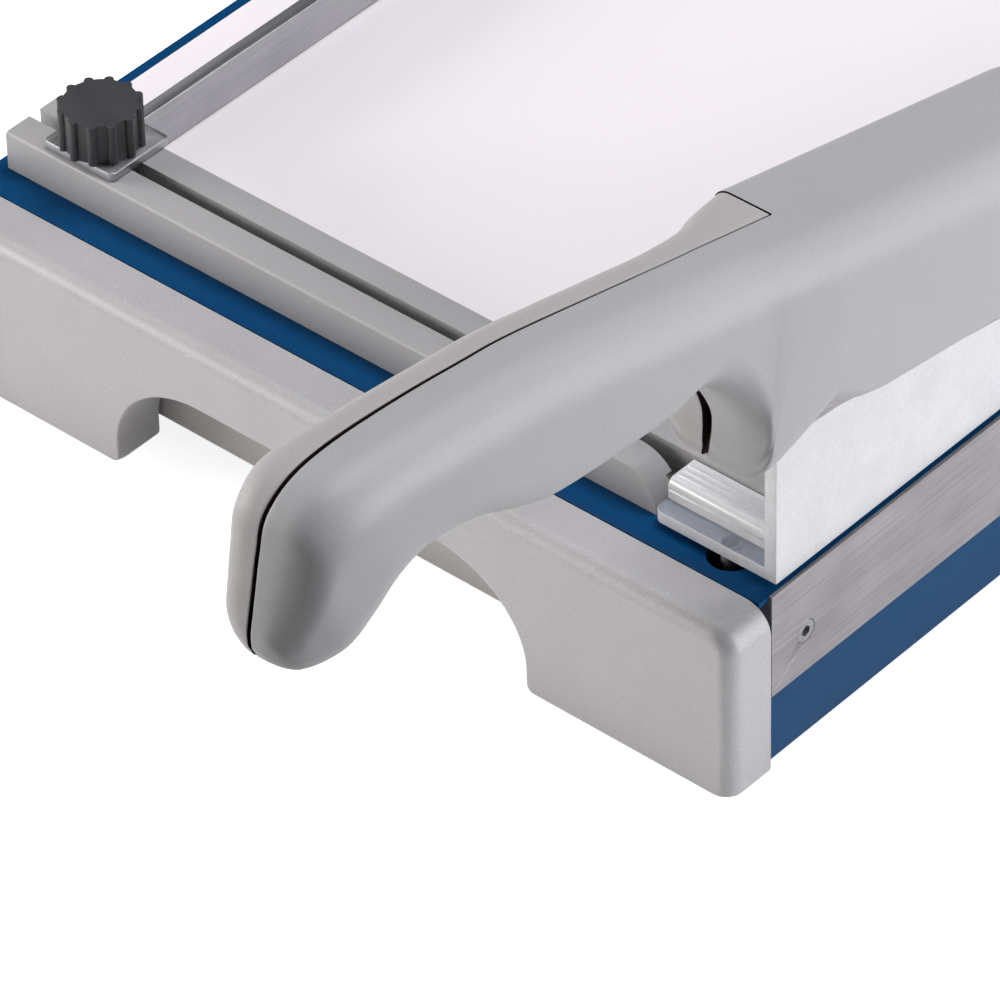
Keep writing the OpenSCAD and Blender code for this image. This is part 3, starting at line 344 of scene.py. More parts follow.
def mesh_of(name, b, materials=(), sharp=None):
    """Mesh from a bmesh, made smooth up to the angle sharp where that is given."""
    mesh = bpy.data.meshes.new(name)
    b.to_mesh(mesh)
    b.free()
    for m in materials:
        mesh.materials.append(m)
    if sharp is not None:
        mesh.polygons.foreach_set("use_smooth", [True] * len(mesh.polygons))
        mesh.set_sharp_from_angle(angle=math.radians(sharp))
    return mesh


def sweep(cx, cz, rx, rz, a0, a1, n):
    """Points of an elliptic arc from the angle a0 to a1, in degrees."""
    return [(cx + rx * math.cos(math.radians(a0 + (a1 - a0) * i / n)),
             cz + rz * math.sin(math.radians(a0 + (a1 - a0) * i / n)))
            for i in range(n + 1)]


P_LOW, P_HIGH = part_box("front_panel")
P_LEFT = (P_LOW.x - CORNER.x) * 1000
P_RIGHT = (P_HIGH.x - CORNER.x) * 1000
P_DEEP = (CORNER.y - P_LOW.y) * 1000
P_BASE = (P_LOW.z - CORNER.z) * 1000
P_ROUND, P_WALL, P_LEG, P_BAND = 4.5, 3.0, 66.1, -19.5
P_CORNER, P_FOOT, ARCH_RX, ARCH_RZ = 8.0, 3.0, 29.0, 25.5
END_LEFT, END_WIDE = -247, 227
BOSS_XS = [END_LEFT + END_WIDE * s for s in (0.12, 0.37, 0.63, 0.88)]
BOSS_Z, BOSS_BORE, BOSS_R, BOSS_BACK = -9, 1.55, 4.0, 2.0
TABLE_DEEP = (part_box("side_rail")[1].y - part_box("side_rail")[0].y) * 1000


def panel_line(d, s):
    """Front view of a panel, inset by d at the top and sides and s elsewhere."""
    x0, x1, z0, r = P_LEFT + d, P_RIGHT - d, P_BASE + s, P_CORNER - d
    f = max(P_FOOT - s, 0.5)
    a0, a1 = P_LEFT + P_LEG - s, P_RIGHT - P_LEG + s
    zt, rx, rz = P_BAND + s, ARCH_RX + s, ARCH_RZ + s
    line = sweep(x1 - r, -d - r, r, r, 0, 90, 10)
    line += sweep(x0 + r, -d - r, r, r, 90, 180, 10)
    line += sweep(x0 + f, z0 + f, f, f, 180, 270, 6)
    line += sweep(a0 - f, z0 + f, f, f, 270, 360, 6)
    line += sweep(a0 + rx, zt - rz, rx, rz, 180, 90, 26)
    line += sweep(a1 - rx, zt - rz, rx, rz, 90, 0, 26)
    line += sweep(a1 + f, z0 + f, f, f, 180, 270, 6)
    line += sweep(x1 - f, z0 + f, f, f, 270, 360, 6)
    return line


def panel_skin(name, rear, material):
    """Skin with a round front, a rim at the back and a hollow with bosses."""
    e, w, deep = P_ROUND, P_WALL, P_DEEP
    rings = [(w + 2, w + 2, w - deep), (w, w, w - deep), (w, w, -0.4),
             (w - 0.4, w - 0.4, 0), (0.3, 0.3, 0), (0, 0, -0.3), (0, 0, e - deep)]
    for i in range(1, 11):
        a = math.pi / 20 * i
        rings.append((e * (1 - math.cos(a)), 0.8 * (1 - math.cos(a)),
                      -deep + e * (1 - math.sin(a))))
    rings.append((e + 0.6, 1.5, -deep))
    b = bmesh.new()
    rows = [[b.verts.new(at(x, TABLE_DEEP - y if rear else y, z))
             for x, z in panel_line(d, s)] for d, s, y in rings]
    skin_over(b, rows)
    for row, (d, s, y) in ((rows[-1], rings[-1]), (rows[0], rings[0])):
        flat = delaunay_2d_cdt([Vector(p) for p in panel_line(d, s)], [],
                               [list(range(len(row)))], 1, 1e-5)
        for corners in flat[2]:
            b.faces.new([row[flat[3][i][0]] for i in corners])
    for x in BOSS_XS:
        tube = []
        for r, y in ((BOSS_BORE, w - deep - 0.2), (BOSS_BORE, BOSS_BACK),
                     (BOSS_R, BOSS_BACK), (BOSS_R, w - deep - 0.2)):
            tube.append([b.verts.new(at(x + r * math.cos(math.pi * k / 12),
                                        TABLE_DEEP - y if rear else y,
                                        BOSS_Z + r * math.sin(math.pi * k / 12)))
                         for k in range(24)])
        skin_over(b, tube + tube[:1])
    bmesh.ops.recalc_face_normals(b, faces=b.faces)
    return mesh_of(name, b, [material], 40)


silver = finish("sparkling_silver_moulding", (0.412, 0.401, 0.416),
                (0.510, 0.498, 0.518), 0.46, 3000, 60, cloudy=0.15, bump=0.35, height=0.00006, metal=0.1,
                sparkle=0.35)
for node, rear in (("front_panel", False), ("rear_panel", True)):
    skin = placed(node + "_skin", panel_skin(node + "_skin", rear, silver))
    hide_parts(node)
    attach(skin, home[node])


# Panel screws: pan-head socket screws through the end rails into the bosses.
# Each row of screws here is one turned screw set along its holes.
def turned(line, sides=36):
    """A closed shape turned about Z from (radius, height) points in mm."""
    b = bmesh.new()
    rows = []
    for r, z in line:
        rows.append([b.verts.new((r * math.cos(2 * math.pi * k / sides) / 1000,
                                  r * math.sin(2 * math.pi * k / sides) / 1000,
                                  z / 1000)) for k in range(sides)])
    skin_over(b, rows)
    b.faces.new(list(reversed(rows[0])))
    b.faces.new(rows[-1])
    bmesh.ops.recalc_face_normals(b, faces=b.faces)
    return b


def screw_mesh(name, head_r, head_h, shank_r, length, flat, material):
    """Screw on -Z with its head's top at z = 0, and a hexagon socket in it."""
    c = head_h * 0.12
    pitch = 0.8
    socket = head_r * 0.48 / 1000
    line = [(shank_r * 0.7, -length), (shank_r, -length + shank_r * 0.3)]
    turns = int((length - head_h) * 0.7 / pitch)
    for k in range(turns):
        z = -length + shank_r * 0.3 + pitch * k
        line += [(shank_r, z + 0.15), (shank_r * 0.86, z + 0.5), (shank_r, z + pitch)]
    line.append((shank_r, -head_h))
    if flat:
        line += [(head_r, -c), (head_r - c, 0)]
    else:
        line += [(head_r, -head_h), (head_r, -head_h * 0.4),
                 (head_r * 0.84, -c * 0.8), (head_r * 0.7, 0)]
    b = turned(line)
    top = max((f for f in b.faces if len(f.verts) > 4),
              key=lambda f: f.calc_center_median().z)
    outer = list(top.verts)
    b.faces.remove(top)
    rim = []
    for v in outer:
        a = math.atan2(v.co.y, v.co.x)
        r = socket * math.cos(math.pi / 6) / math.cos(
            (a + math.pi / 6) % (math.pi / 3) - math.pi / 6)
        rim.append(b.verts.new((r * math.cos(a), r * math.sin(a), 0)))
    low = [b.verts.new(v.co - Vector((0, 0, head_h * 0.62 / 1000))) for v in rim]
    n = len(outer)
    for k in range(n):
        j = (k + 1) % n
        b.faces.new((outer[k], outer[j], rim[j], rim[k]))
        b.faces.new((rim[k], rim[j], low[j], low[k]))
    b.faces.new(low)
    bmesh.ops.recalc_face_normals(b, faces=b.faces)
    return mesh_of(name, b, [material], 30)


rows_tree = bpy.data.node_groups.new("row_of_parts", "GeometryNodeTree")
socket_of(rows_tree.interface, "Places", "NodeSocketGeometry")
part_in = socket_of(rows_tree.interface, "Part", "NodeSocketObject")
turn_in = socket_of(rows_tree.interface, "Turn", "NodeSocketVector")
spin_in = socket_of(rows_tree.interface, "Most Spin", "NodeSocketFloat", 6.283)
made_of = socket_of(rows_tree.interface, "Made Of", "NodeSocketMaterial")
socket_of(rows_tree.interface, "Row", "NodeSocketGeometry", into="OUTPUT")
r_in = rows_tree.nodes.new("NodeGroupInput")
r_out = rows_tree.nodes.new("NodeGroupOutput")
r_info = rows_tree.nodes.new("GeometryNodeObjectInfo")
r_points = rows_tree.nodes.new("GeometryNodeMeshToPoints")
r_spin = rows_tree.nodes.new("FunctionNodeRandomValue")
r_spin.data_type = "FLOAT"
r_spin.inputs["Seed"].default_value = 7
r_axis = rows_tree.nodes.new("ShaderNodeCombineXYZ")
r_inst = rows_tree.nodes.new("GeometryNodeInstanceOnPoints")
r_rot = rows_tree.nodes.new("GeometryNodeRotateInstances")
r_real = rows_tree.nodes.new("GeometryNodeRealizeInstances")
r_mat = rows_tree.nodes.new("GeometryNodeSetMaterial")
wire(rows_tree,
     (r_in, "Places", r_points, "Mesh"),
     (r_points, "Points", r_inst, "Points"),
     (r_in, "Part", r_info, "Object"),
     (r_info, "Geometry", r_inst, "Instance"),
     (r_in, "Turn", r_inst, "Rotation"),
     (r_in, "Most Spin", r_spin, "Max"),
     (r_spin, "Value", r_axis, "Z"),
     (r_inst, "Instances", r_rot, "Instances"),
     (r_axis, "Vector", r_rot, "Rotation"),
     (r_rot, "Instances", r_real, "Geometry"),
     (r_real, "Geometry", r_mat, "Geometry"),
     (r_in, "Made Of", r_mat, "Material"),
     (r_mat, "Geometry", r_out, "Row"))


def set_along(name, places, turn, mesh, material, spin=6.283):
    """One part at each of the places (in m), its +Z turned by turn."""
    spots = bpy.data.meshes.new(name + "_spots")
    spots.from_pydata([tuple(p) for p in places], [], [])
    carrier = placed(name + "_carrier", spots)
    model = placed(name + "_model", mesh)
    gn = carrier.modifiers.new("row", "NODES")
    gn.node_group = rows_tree
    gn[part_in.identifier] = model
    gn[turn_in.identifier] = turn
    gn[spin_in.identifier] = spin
    gn[made_of.identifier] = material
    bpy.context.view_layer.update()
    made = bpy.data.meshes.new_from_object(
        carrier.evaluated_get(bpy.context.evaluated_depsgraph_get()))
    made.name = name
    bpy.data.objects.remove(carrier)
    bpy.data.objects.remove(model)
    return placed(name, made)


def stands_for(o, node):
    """The object takes a CAD node's slot, place and body."""
    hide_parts(node)
    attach(o, home[node])


def joined(name, parts):
    """One object from several, at the origin as they are."""
    b = bmesh.new()
    for p in parts:
        b.from_mesh(p.data)
    mesh = mesh_of(name, b, list(parts[0].data.materials))
    for p in parts:
        bpy.data.objects.remove(p)
    return placed(name, mesh)


# Brushing is fine streaks along the blades, which their steel finishes use.
brushing = bpy.data.node_groups.new("lengthways_brushing", "ShaderNodeTree")
socket_of(brushing.interface, "Lines", "NodeSocketFloat", 900.0)
socket_of(brushing.interface, "Streak", "NodeSocketFloat", into="OUTPUT")
socket_of(brushing.interface, "Stain", "NodeSocketFloat", into="OUTPUT")
b_in = brushing.nodes.new("NodeGroupInput")
b_out = brushing.nodes.new("NodeGroupOutput")
b_co = brushing.nodes.new("ShaderNodeTexCoord")
b_map = brushing.nodes.new("ShaderNodeMapping")
b_map.inputs["Scale"].default_value = (1, 0.02, 1)
b_noise = brushing.nodes.new("ShaderNodeTexNoise")
b_noise.inputs["Detail"].default_value = 4
b_stain = brushing.nodes.new("ShaderNodeTexNoise")
b_stain.inputs["Scale"].default_value = 55
wire(brushing,
     (b_co, "Object", b_map, "Vector"),
     (b_map, "Vector", b_noise, "Vector"),
     (b_in, "Lines", b_noise, "Scale"),
     (b_co, "Object", b_stain, "Vector"),
     (b_noise, "Fac", b_out, "Streak"),
     (b_stain, "Fac", b_out, "Stain"))


def brushed(name, dark, light, rough, lines=1500, metal=1.0):
    """A brushed metal between two colours, with streaks and faint stains."""
    m = bpy.data.materials.new(name)
    m.use_nodes = True
    t = m.node_tree
    shader = t.nodes["Principled BSDF"]
    group = t.nodes.new("ShaderNodeGroup")
    group.node_tree = brushing
    group.inputs["Lines"].default_value = lines
    ramp = t.nodes.new("ShaderNodeValToRGB")
    ramp.color_ramp.elements[0].position = 0.3
    ramp.color_ramp.elements[1].position = 0.7
    ramp.color_ramp.elements[0].color = (*dark, 1)
    ramp.color_ramp.elements[1].color = (*light, 1)
    both = t.nodes.new("ShaderNodeMix")
    both.inputs["Factor"].default_value = 0.4
    sheen = t.nodes.new("ShaderNodeMapRange")
    sheen.inputs["To Min"].default_value = rough - 0.07
    sheen.inputs["To Max"].default_value = rough + 0.1
    relief = t.nodes.new("ShaderNodeBump")
    relief.inputs["Strength"].default_value = 0.25
    relief.inputs["Distance"].default_value = 0.00003
    wire(t,
         (group, "Streak", both, "A"),
         (group, "Stain", both, "B"),
         (both, "Result", ramp, "Fac"),
         (ramp, "Color", shader, "Base Color"),
         (group, "Streak", sheen, "Value"),
         (sheen, 0, shader, "Roughness"),
         (group, "Streak", relief, "Height"),
         (relief, "Normal", shader, "Normal"))
    shader.inputs["Metallic"].default_value = metal
    return m


TO_RIGHT, TO_LEFT = (0, math.pi / 2, 0), (0, -math.pi / 2, 0)
TO_REAR, TO_FRONT = (-math.pi / 2, 0, 0), (math.pi / 2, 0, 0)
TO_TOP, TO_FLOOR = (0, 0, 0), (math.pi, 0, 0)
bright_steel = brushed("bright_screw_steel", (0.30, 0.295, 0.30), (0.46, 0.455, 0.46),
                       0.36)
dark_steel = brushed("dark_screw_steel", (0.05, 0.05, 0.053), (0.11, 0.11, 0.115), 0.38)
PLATE_BACK = 7
pan_screw = screw_mesh("panel_screw", 3.0, 2.0, 1.5, 15.0, False, bright_steel)
stands_for(joined("panel_screw_rows", [
    set_along("front_panel_screws", [at(x, PLATE_BACK, BOSS_Z) for x in BOSS_XS], TO_REAR,
              pan_screw, bright_steel),
    set_along("rear_panel_screws",
              [at(x, TABLE_DEEP - PLATE_BACK, BOSS_Z) for x in BOSS_XS], TO_FRONT,
              pan_screw, bright_steel)]), "panel_screws")

# Fences: slotted bars along the front and back of the work area, moulded in
# light grey with round ribs. The front one's outer rib ends in a round nose.
fence = finish("fence_grey_moulding", (0.345, 0.338, 0.347), (0.386, 0.379, 0.389), 0.5,
               2600, 30, bump=0.3)
dressed("front_fence", fence, 0.45, segments=3)
dressed("rear_fence", fence, 0.45, segments=3)

# Fence screws and nuts: six countersunk screws in the slots' floors, each with
# a hexagon nut under the sheet.
SLOT_Y, REAR_SLOT_BACK, SLOT_FLOOR = 20.447, 30.447, 2
SLOT_LEFT, SLOT_LONG = -258, 212
slot_ys = (SLOT_Y, TABLE_DEEP - REAR_SLOT_BACK)
screw_xs = [SLOT_LEFT + SLOT_LONG * s for s in (0.1, 0.5, 0.88)]
fence_screw = screw_mesh("fence_screw", 2.8, 1.4, 1.5, 9.0, True, bright_steel)
stands_for(set_along("fence_screw_row",
                     [at(x, y, SLOT_FLOOR) for x in screw_xs for y in slot_ys],
                     TO_TOP, fence_screw, bright_steel), "fence_screws")
dressed("fence_nuts", bright_steel, 0.3)

# Feet: black rubber pads under the rails' ends, each held by its own screw.
rubber = finish("black_rubber", (0.012, 0.012, 0.013), (0.022, 0.022, 0.024), 0.75,
                1800, 60, bump=0.5, height=0.00008)
dressed("rubber_feet", rubber, 0.6, segments=3)
foot_screw = screw_mesh("foot_screw", 3.0, 1.5, 1.5, 10.5, False, bright_steel)
FOOT_XS, FOOT_IN = (-10, -254.5), 24
foot_z = P_BASE - 2.5
stands_for(set_along("foot_screw_row",
                     [at(x, y, foot_z) for x in FOOT_XS
                      for y in (FOOT_IN, TABLE_DEEP - FOOT_IN)],
                     TO_FLOOR, foot_screw, bright_steel), "foot_screws")

# Fixed blade: ground steel along the table's edge, brushed lengthways, with a
# narrow bright land on top and five countersunk screws.
ground = brushed("ground_blade_steel", (0.25, 0.232, 0.245), (0.40, 0.378, 0.395), 0.45,
                 metal=0.6)
dressed("fixed_blade", ground, 0, angle=20)
rail_screw = screw_mesh("blade_screw", 3.3, 1.8, 2.0, 9.9, True, bright_steel)
SUNK_X, BLADE_SCREW_Z = -0.05, -18.9
first_y, end_gap = 16.7, 13.0
last_y = (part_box("fixed_blade")[1].y - CORNER.y) * 1000 - end_gap
stands_for(set_along("fixed_blade_screw_row",
                     [at(SUNK_X, first_y + (last_y - first_y) * i / 4, BLADE_SCREW_Z)
                      for i in range(5)],
                     TO_RIGHT, rail_screw, bright_steel), "fixed_blade_screws")

# Hinge bracket: a dark steel block let into the right rail, held by three large
# countersunk screws. Its round top carries the pivot.
PIVOT_Y = (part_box("hinge_bracket")[0].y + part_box("hinge_bracket")[1].y) * 500 \
    - CORNER.y * 1000
PIVOT_Z = 10.0
bracket_steel = brushed("bracket_steel", (0.10, 0.10, 0.105), (0.17, 0.17, 0.175), 0.45)
dressed("hinge_bracket", bracket_steel, 0.5, segments=3)
bracket_screw = screw_mesh("bracket_screw", 4.6, 2.6, 2.5, 17.9, True, bright_steel)
BRACKET_SCREWS = ((-7, -20), (7, -20), (0, -32))
stands_for(set_along("bracket_screw_row",
                     [at(SUNK_X, PIVOT_Y + y, z) for y, z in BRACKET_SCREWS],
                     TO_RIGHT, bracket_screw, bright_steel), "bracket_screws")

# Pivot: a shouldered bolt through the bracket, a bronze washer and bush, two
# dished springs that press the blades together, a plain washer and a nut.
bronze = brushed("bearing_bronze", (0.42, 0.27, 0.10), (0.58, 0.40, 0.17), 0.35)


def about_pivot(name, line, material, sides=72):
    """A shape turned about the pivot from (radius, x) points in mm."""
    b = turned(line, sides)
    bmesh.ops.transform(b, matrix=Matrix.Translation(at(0, PIVOT_Y, PIVOT_Z))
                        @ Matrix.Rotation(math.pi / 2, 4, "Y"), verts=b.verts)
    return placed(name, mesh_of(name, b, [material], 30))


BOLT_END = (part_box("pivot_bolt")[1].x - CORNER.x) * 1000
BOLT_R, THREAD_R, THREAD_LONG, THREAD_PITCH = 6.0, 5.45, 14.5, 1.6
bolt_line = [(8.0, -16.0), (8.8, -15.6), (9.0, -15.0), (9.0, -10.3), (8.7, -10.0),
             (BOLT_R, -10.0), (BOLT_R, BOLT_END - THREAD_LONG)]
for k in range(8):
    x = BOLT_END - THREAD_LONG + THREAD_PITCH * k
    bolt_line += [(BOLT_R, x + 0.3), (THREAD_R, x + 0.9), (BOLT_R, x + 1.5)]
bolt_line += [(BOLT_R, BOLT_END - 1.2), (5.0, BOLT_END)]
stands_for(about_pivot("shouldered_bolt", bolt_line, bright_steel), "pivot_bolt")
NUT_X, NUT_R, NUT_FACE, NUT_BORE, NUT_MOUTH = BOLT_END - 12.0, 10.5, 9.3, 6.05, 6.7
NUT_POINTS = 72
b = bmesh.new()
rows = []
for radius, x in ((NUT_BORE, 0.7), (NUT_MOUTH, 0), (NUT_FACE, 0), (NUT_R, 0.9),
                  (NUT_R, 9.1), (NUT_FACE, 10.0), (NUT_MOUTH, 10.0), (NUT_BORE, 9.3)):
    row = []
    for k in range(NUT_POINTS):
        a = 2 * math.pi * k / NUT_POINTS
        flat_r = NUT_R * math.cos(math.pi / 6) / math.cos(
            a % (math.pi / 3) - math.pi / 6)
        r = min(radius, flat_r) if radius > NUT_MOUTH else radius
        row.append(b.verts.new(at(NUT_X + x, PIVOT_Y + r * math.cos(a),
                                  PIVOT_Z + r * math.sin(a))))
    rows.append(row)
skin_over(b, rows + rows[:1])
bmesh.ops.recalc_face_normals(b, faces=b.faces)
nut = placed("hexagon_nut", mesh_of("hexagon_nut", b, [bright_steel], 28))
stands_for(nut, "pivot_nut")
dressed("thrust_washer", bronze, 0.2)
dressed("pivot_bush", bronze, 0.2)
dressed("disc_springs", dark_steel, 0.15)
dressed("pivot_washer", bright_steel, 0.3)

# Lever: one light grey casting with its boss, web and hood, that runs on as the right half of the grip.
# The left half is a moulded cover screwed on.
# Where the halves meet, their facing sides are painted near black: painted shade
# for the shade in the seam's gap.
REST = math.radians(8.2)


def lever(x, u, w):
    """Point of the lever: u forward of the pivot and w above it, lever down."""
    return at(x, PIVOT_Y - u * math.cos(REST) + w * math.sin(REST),
              PIVOT_Z + u * math.sin(REST) + w * math.cos(REST))


# Stations from the tip: crest (u, w), underside (u, w), right width, left width,
# right radii (top, bottom), left radii, flare, gap under the seam. They are the CAD
# grip's sections in mm. A program fitted the widths near the tip and the undersides
# to the photograph's outline.
STATIONS = [
    (573.0, 12.6, 571.4, 10.3, 2.6, 2.2, 2.0, 1.6, 1.6, 1.3, 0, 0),
    (573.4, 13.8, 570.7, 9.4, 4.1, 3.5, 2.5, 2.5, 2.5, 2.0, 0, 0),
    (573.9, 17.0, 568.0, 7.6, 8.0, 6.9, 6.0, 5.0, 4.5, 4.0, 0, 0),
    (573.7, 21.9, 563.9, 5.8, 10.7, 9.7, 8.5, 8.0, 6.0, 6.0, 0, 0),
    (573.3, 29.0, 558.8, 6.6, 13.1, 10.6, 10.0, 9.0, 7.0, 7.0, 0, 0),
    (572.8, 37.4, 553.1, 9.4, 15.4, 11.2, 11.0, 10.0, 7.5, 7.5, 0, 0),
    (571.3, 46.5, 546.8, 15.4, 16.7, 12.2, 11.5, 11.0, 8.0, 8.0, 0, 0),
    (563.5, 53.3, 540.7, 22.1, 17.8, 13.3, 12.0, 12.0, 8.5, 8.0, 0, 0),
    (549.5, 56.7, 532.1, 26.0, 18.1, 12.0, 12.0, 12.0, 9.0, 8.0, 0, 0),
    (528.5, 58.3, 517.1, 26.0, 18.5, 11.5, 12.0, 12.0, 9.0, 8.0, 0, 0),
    (508.4, 58.7, 501.5, 21.6, 18.5, 11.5, 12.0, 12.0, 9.0, 8.0, 0, 0),
    (491.4, 58.6, 487.7, 19.5, 18.5, 11.5, 12.0, 12.0, 9.0, 8.0, 0, 0),
    (452.5, 55.5, 454.2, 21.8, 18.5, 11.5, 12.0, 12.0, 9.0, 8.0, 0, 0),
    (438.3, 54.3, 439.7, 25.7, 18.5, 11.5, 12.0, 12.0, 9.0, 8.0, 0, 0),
    (428.0, 53.6, 430.2, 21.6, 18.5, 11.5, 11.8, 11.5, 8.5, 8.0, 0.3, 0.2),
    (422.0, 53.1, 423.3, 14.6, 18.5, 11.5, 11.5, 11.2, 8.0, 7.5, 0.8, 0.9),
    (418.5, 52.8, 418.8, 7.3, 18.7, 11.7, 11.3, 11.0, 7.8, 7.5, 1.3, 1.5),
    (416.5, 52.6, 417.3, 1.2, 18.9, 11.8, 11.2, 11.0, 7.5, 7.2, 1.8, 1.5),
    (413.9, 52.4, 416.6, -4.7, 19.1, 11.8, 11.1, 10.8, 7.0, 7.0, 2.7, 1.1),
    (407.9, 51.9, 414.1, -8.2, 19.4, 11.5, 11.0, 10.5, 6.2, 6.6, 4.2, 0.6),
    (400.6, 51.3, 391.5, -6.7, 19.8, 11.0, 11.0, 10.2, 5.2, 5.8, 6.0, 0.2)]
CLIMB = 0.15  # the casting's underside rises by this share behind the spur
FORWARD_BUTT, BACK_BUTT = (400.6, 51.3), (392.87, 1.98)
PARTING_X, HOOD_X = 1.5, -17.5
CASTING_GAP, COVER_GAP = 1.5, 0.15


def part_way(value, start, span):
    """How far value is from start along span, kept between 0 and 1."""
    return min(max((value - start) / span, 0), 1)


def eased(rows, n):
    """Rows with n - 1 more between each two, on a smooth curve through them."""
    out = []
    for i in range(len(rows) - 1):
        a, b = rows[max(i - 1, 0)], rows[i]
        c, d = rows[i + 1], rows[min(i + 2, len(rows) - 1)]
        for k in range(n):
            t = k / n
            out.append(tuple((2 * q + (r - p) * t + (2 * p - 5 * q + 4 * r - s) * t * t
                              + (3 * q - p - 3 * r + s) * t ** 3) / 2
                             for p, q, r, s in zip(a, b, c, d)))
    out.append(rows[-1])
    return out


def outer_side(w, h, rt, rb, start, seam, flare=0.0, gap=0.0, hollow=None):
    """A half's outer line as (x from the seam, height): top, side, bottom."""
    mid = 0.29 * seam
    rt, rb = min(rt, h * 0.46, w * 0.85), min(rb, h * 0.42, w * 0.85)
    pts = [(start, h - seam), (start + mid, h - mid)]
    x1 = w + flare - rt
    pts += [(start + seam + (x1 - start - seam) * k / 5, h) for k in range(5)]
    pts += [(x1 + rt * math.sin(a), h - rt * (1 - math.cos(a)))
            for a in [math.pi * k / 20 for k in range(11)]]
    drop = h - rt - rb
    for k in range(1, 10):
        s = k / 10
        ease = 1 - min(s * drop / 15.0, 1.0)
        pts.append((w + flare * ease * ease * (3 - 2 * ease), h - rt - drop * s))
    pts += [(w - rb + rb * math.cos(a), rb - rb * math.sin(a))
            for a in [math.pi * k / 20 for k in range(11)]]
    x2 = w - rb
    pts += hollow or [(x2 + (gap + seam - x2) * k / 5, 0) for k in range(1, 5)]
    pts += [(gap + seam, 0), (gap + mid, mid), (gap, seam)]
    return pts


def hood_side(h, hx):
    """The arm's left side, from the web's foot up round the hood to its top."""
    web, thick = 1.65, 13.0
    q, ql = min(5, max(1.0, (web - hx) * 0.45)), min(2.5, (web - hx) * 0.2)
    f = min(1.5, (web - hx) * 0.1)
    t0 = h - thick
    pts = [(web, 0), (web, t0 * 0.5), (web, t0 - f)]
    pts += [(web - f + f * math.cos(a), t0 - f + f * math.sin(a))
            for a in [math.pi * k / 6 for k in (1, 2, 3)]]
    pts += [(web - f + (hx + ql - web + f) * k / 4, t0) for k in (1, 2, 3)]
    pts += [(hx + ql - ql * math.sin(a), t0 + ql - ql * math.cos(a))
            for a in [math.pi * k / 6 for k in range(4)]]
    pts += [(hx, t0 + ql + (thick - q - ql) * k / 3) for k in (1, 2)]
    pts += [(hx + q - q * math.cos(a), h - q + q * math.sin(a))
            for a in [math.pi * k / 12 for k in range(7)]]
    start = max(0.0, hx + q)
    pts += [(hx + q + (start - hx - q) * k / 3, h) for k in (1, 2)]
    return pts, start


def lofted(name, rings, materials, dark):
    """A closed skin through rings of points; faces where dark(ring, point) holds take the second
    material, the seam's painted shade.
    """
    b = bmesh.new()
    rows = [[b.verts.new(p) for p in r] for r in rings]
    for j, band in enumerate(skin_over(b, rows)):
        for i, face in enumerate(band):
            face.material_index = int(dark(j, i))
    n = len(rows[0])
    for row in (rows[0], rows[-1]):
        mid = b.verts.new(sum((v.co for v in row), Vector()) / n)
        for i in range(n):
            b.faces.new((row[i], row[(i + 1) % n], mid))
    bmesh.ops.remove_doubles(b, verts=b.verts, dist=2e-6)
    bmesh.ops.dissolve_degenerate(b, edges=b.edges, dist=1e-6)
    bmesh.ops.recalc_face_normals(b, faces=b.faces)
    return placed(name, mesh_of(name, b, materials, 42))


def on_section(points, top, low, x0, side):
    """Points of a section, from (x, height) to the lever's place in the scene."""
    top, low = Vector(top), Vector(low)
    h = (top - low).length
    out = []
    for x, t in points:
        q = low + (top - low) * (t / h)
        out.append(lever(x0 + side * x, q.x, q.y))
    return out


grey = finish("handle_grey_lacquer", (0.356, 0.352, 0.365), (0.396, 0.392, 0.406), 0.5,
              2600, 22, cloudy=0.2, bump=0.3, gloss=0.4)
# The cover's grey is a touch warmer, as the real cover is, and a touch lighter as painted light for the
# light from the left.
grey_cover = finish("cover_grey_moulding", (0.372, 0.356, 0.358), (0.410, 0.393, 0.396),
                    0.52, 2600, 22, cloudy=0.2, bump=0.3, gloss=0.4)
# Painted shade: near black for the halves' facing sides in the seam, standing for the shade in the gap
# between them.
seam_shade_paint = finish("painted_seam_shade", (0.024, 0.013, 0.011), (0.032, 0.018, 0.015), 0.8,
                     900, 30, gloss=0.1)
butt_h = (Vector(FORWARD_BUTT) - Vector(BACK_BUTT)).length
hood_line, _ = hood_side(butt_h, HOOD_X)
climbs = [t / butt_h for _, t in hood_line]
rings = []
last = len(STATIONS) - 1
for k, s in enumerate(eased([r + ((CLIMB if i == last else 0.0),)
                             for i, r in enumerate(STATIONS)], 6)):
    tu, tw, lu, lw, wr, wl, rt, rb, lt, lb, flare, gap, rise = s
    top = Vector((tu, tw))
    low = Vector((lu, lw)).lerp(top, rise)
    h = (top - low).length
    seam = min(0.3, h * 0.05)
    gap = max(gap, 0) * CASTING_GAP
    line = outer_side(wr, h, rt, rb, 0, seam, 0.0, gap)
    line += [(gap * (1 - c) ** 2, min(max(c * h, seam), h - seam)) for c in climbs]
    rings.append(on_section(line, top, low, PARTING_X, 1))
GRIP_RINGS = len(rings)
N_OUT = len(line) - len(climbs)


HUB_R, ARM_SLOPE, ARM_WIDE, ARM_ROUND = 18.5, 0.081877, 19.5, 11.0
WEB_LOW, HUB_LOW, HUB_CLIMB, HUB_LONG = 2.0, -14.8, 0.42, 40
ROOF, HOLLOW_X0, HOLLOW_X1, WEB_X = 5.5, 5.65, 15.5, 1.66


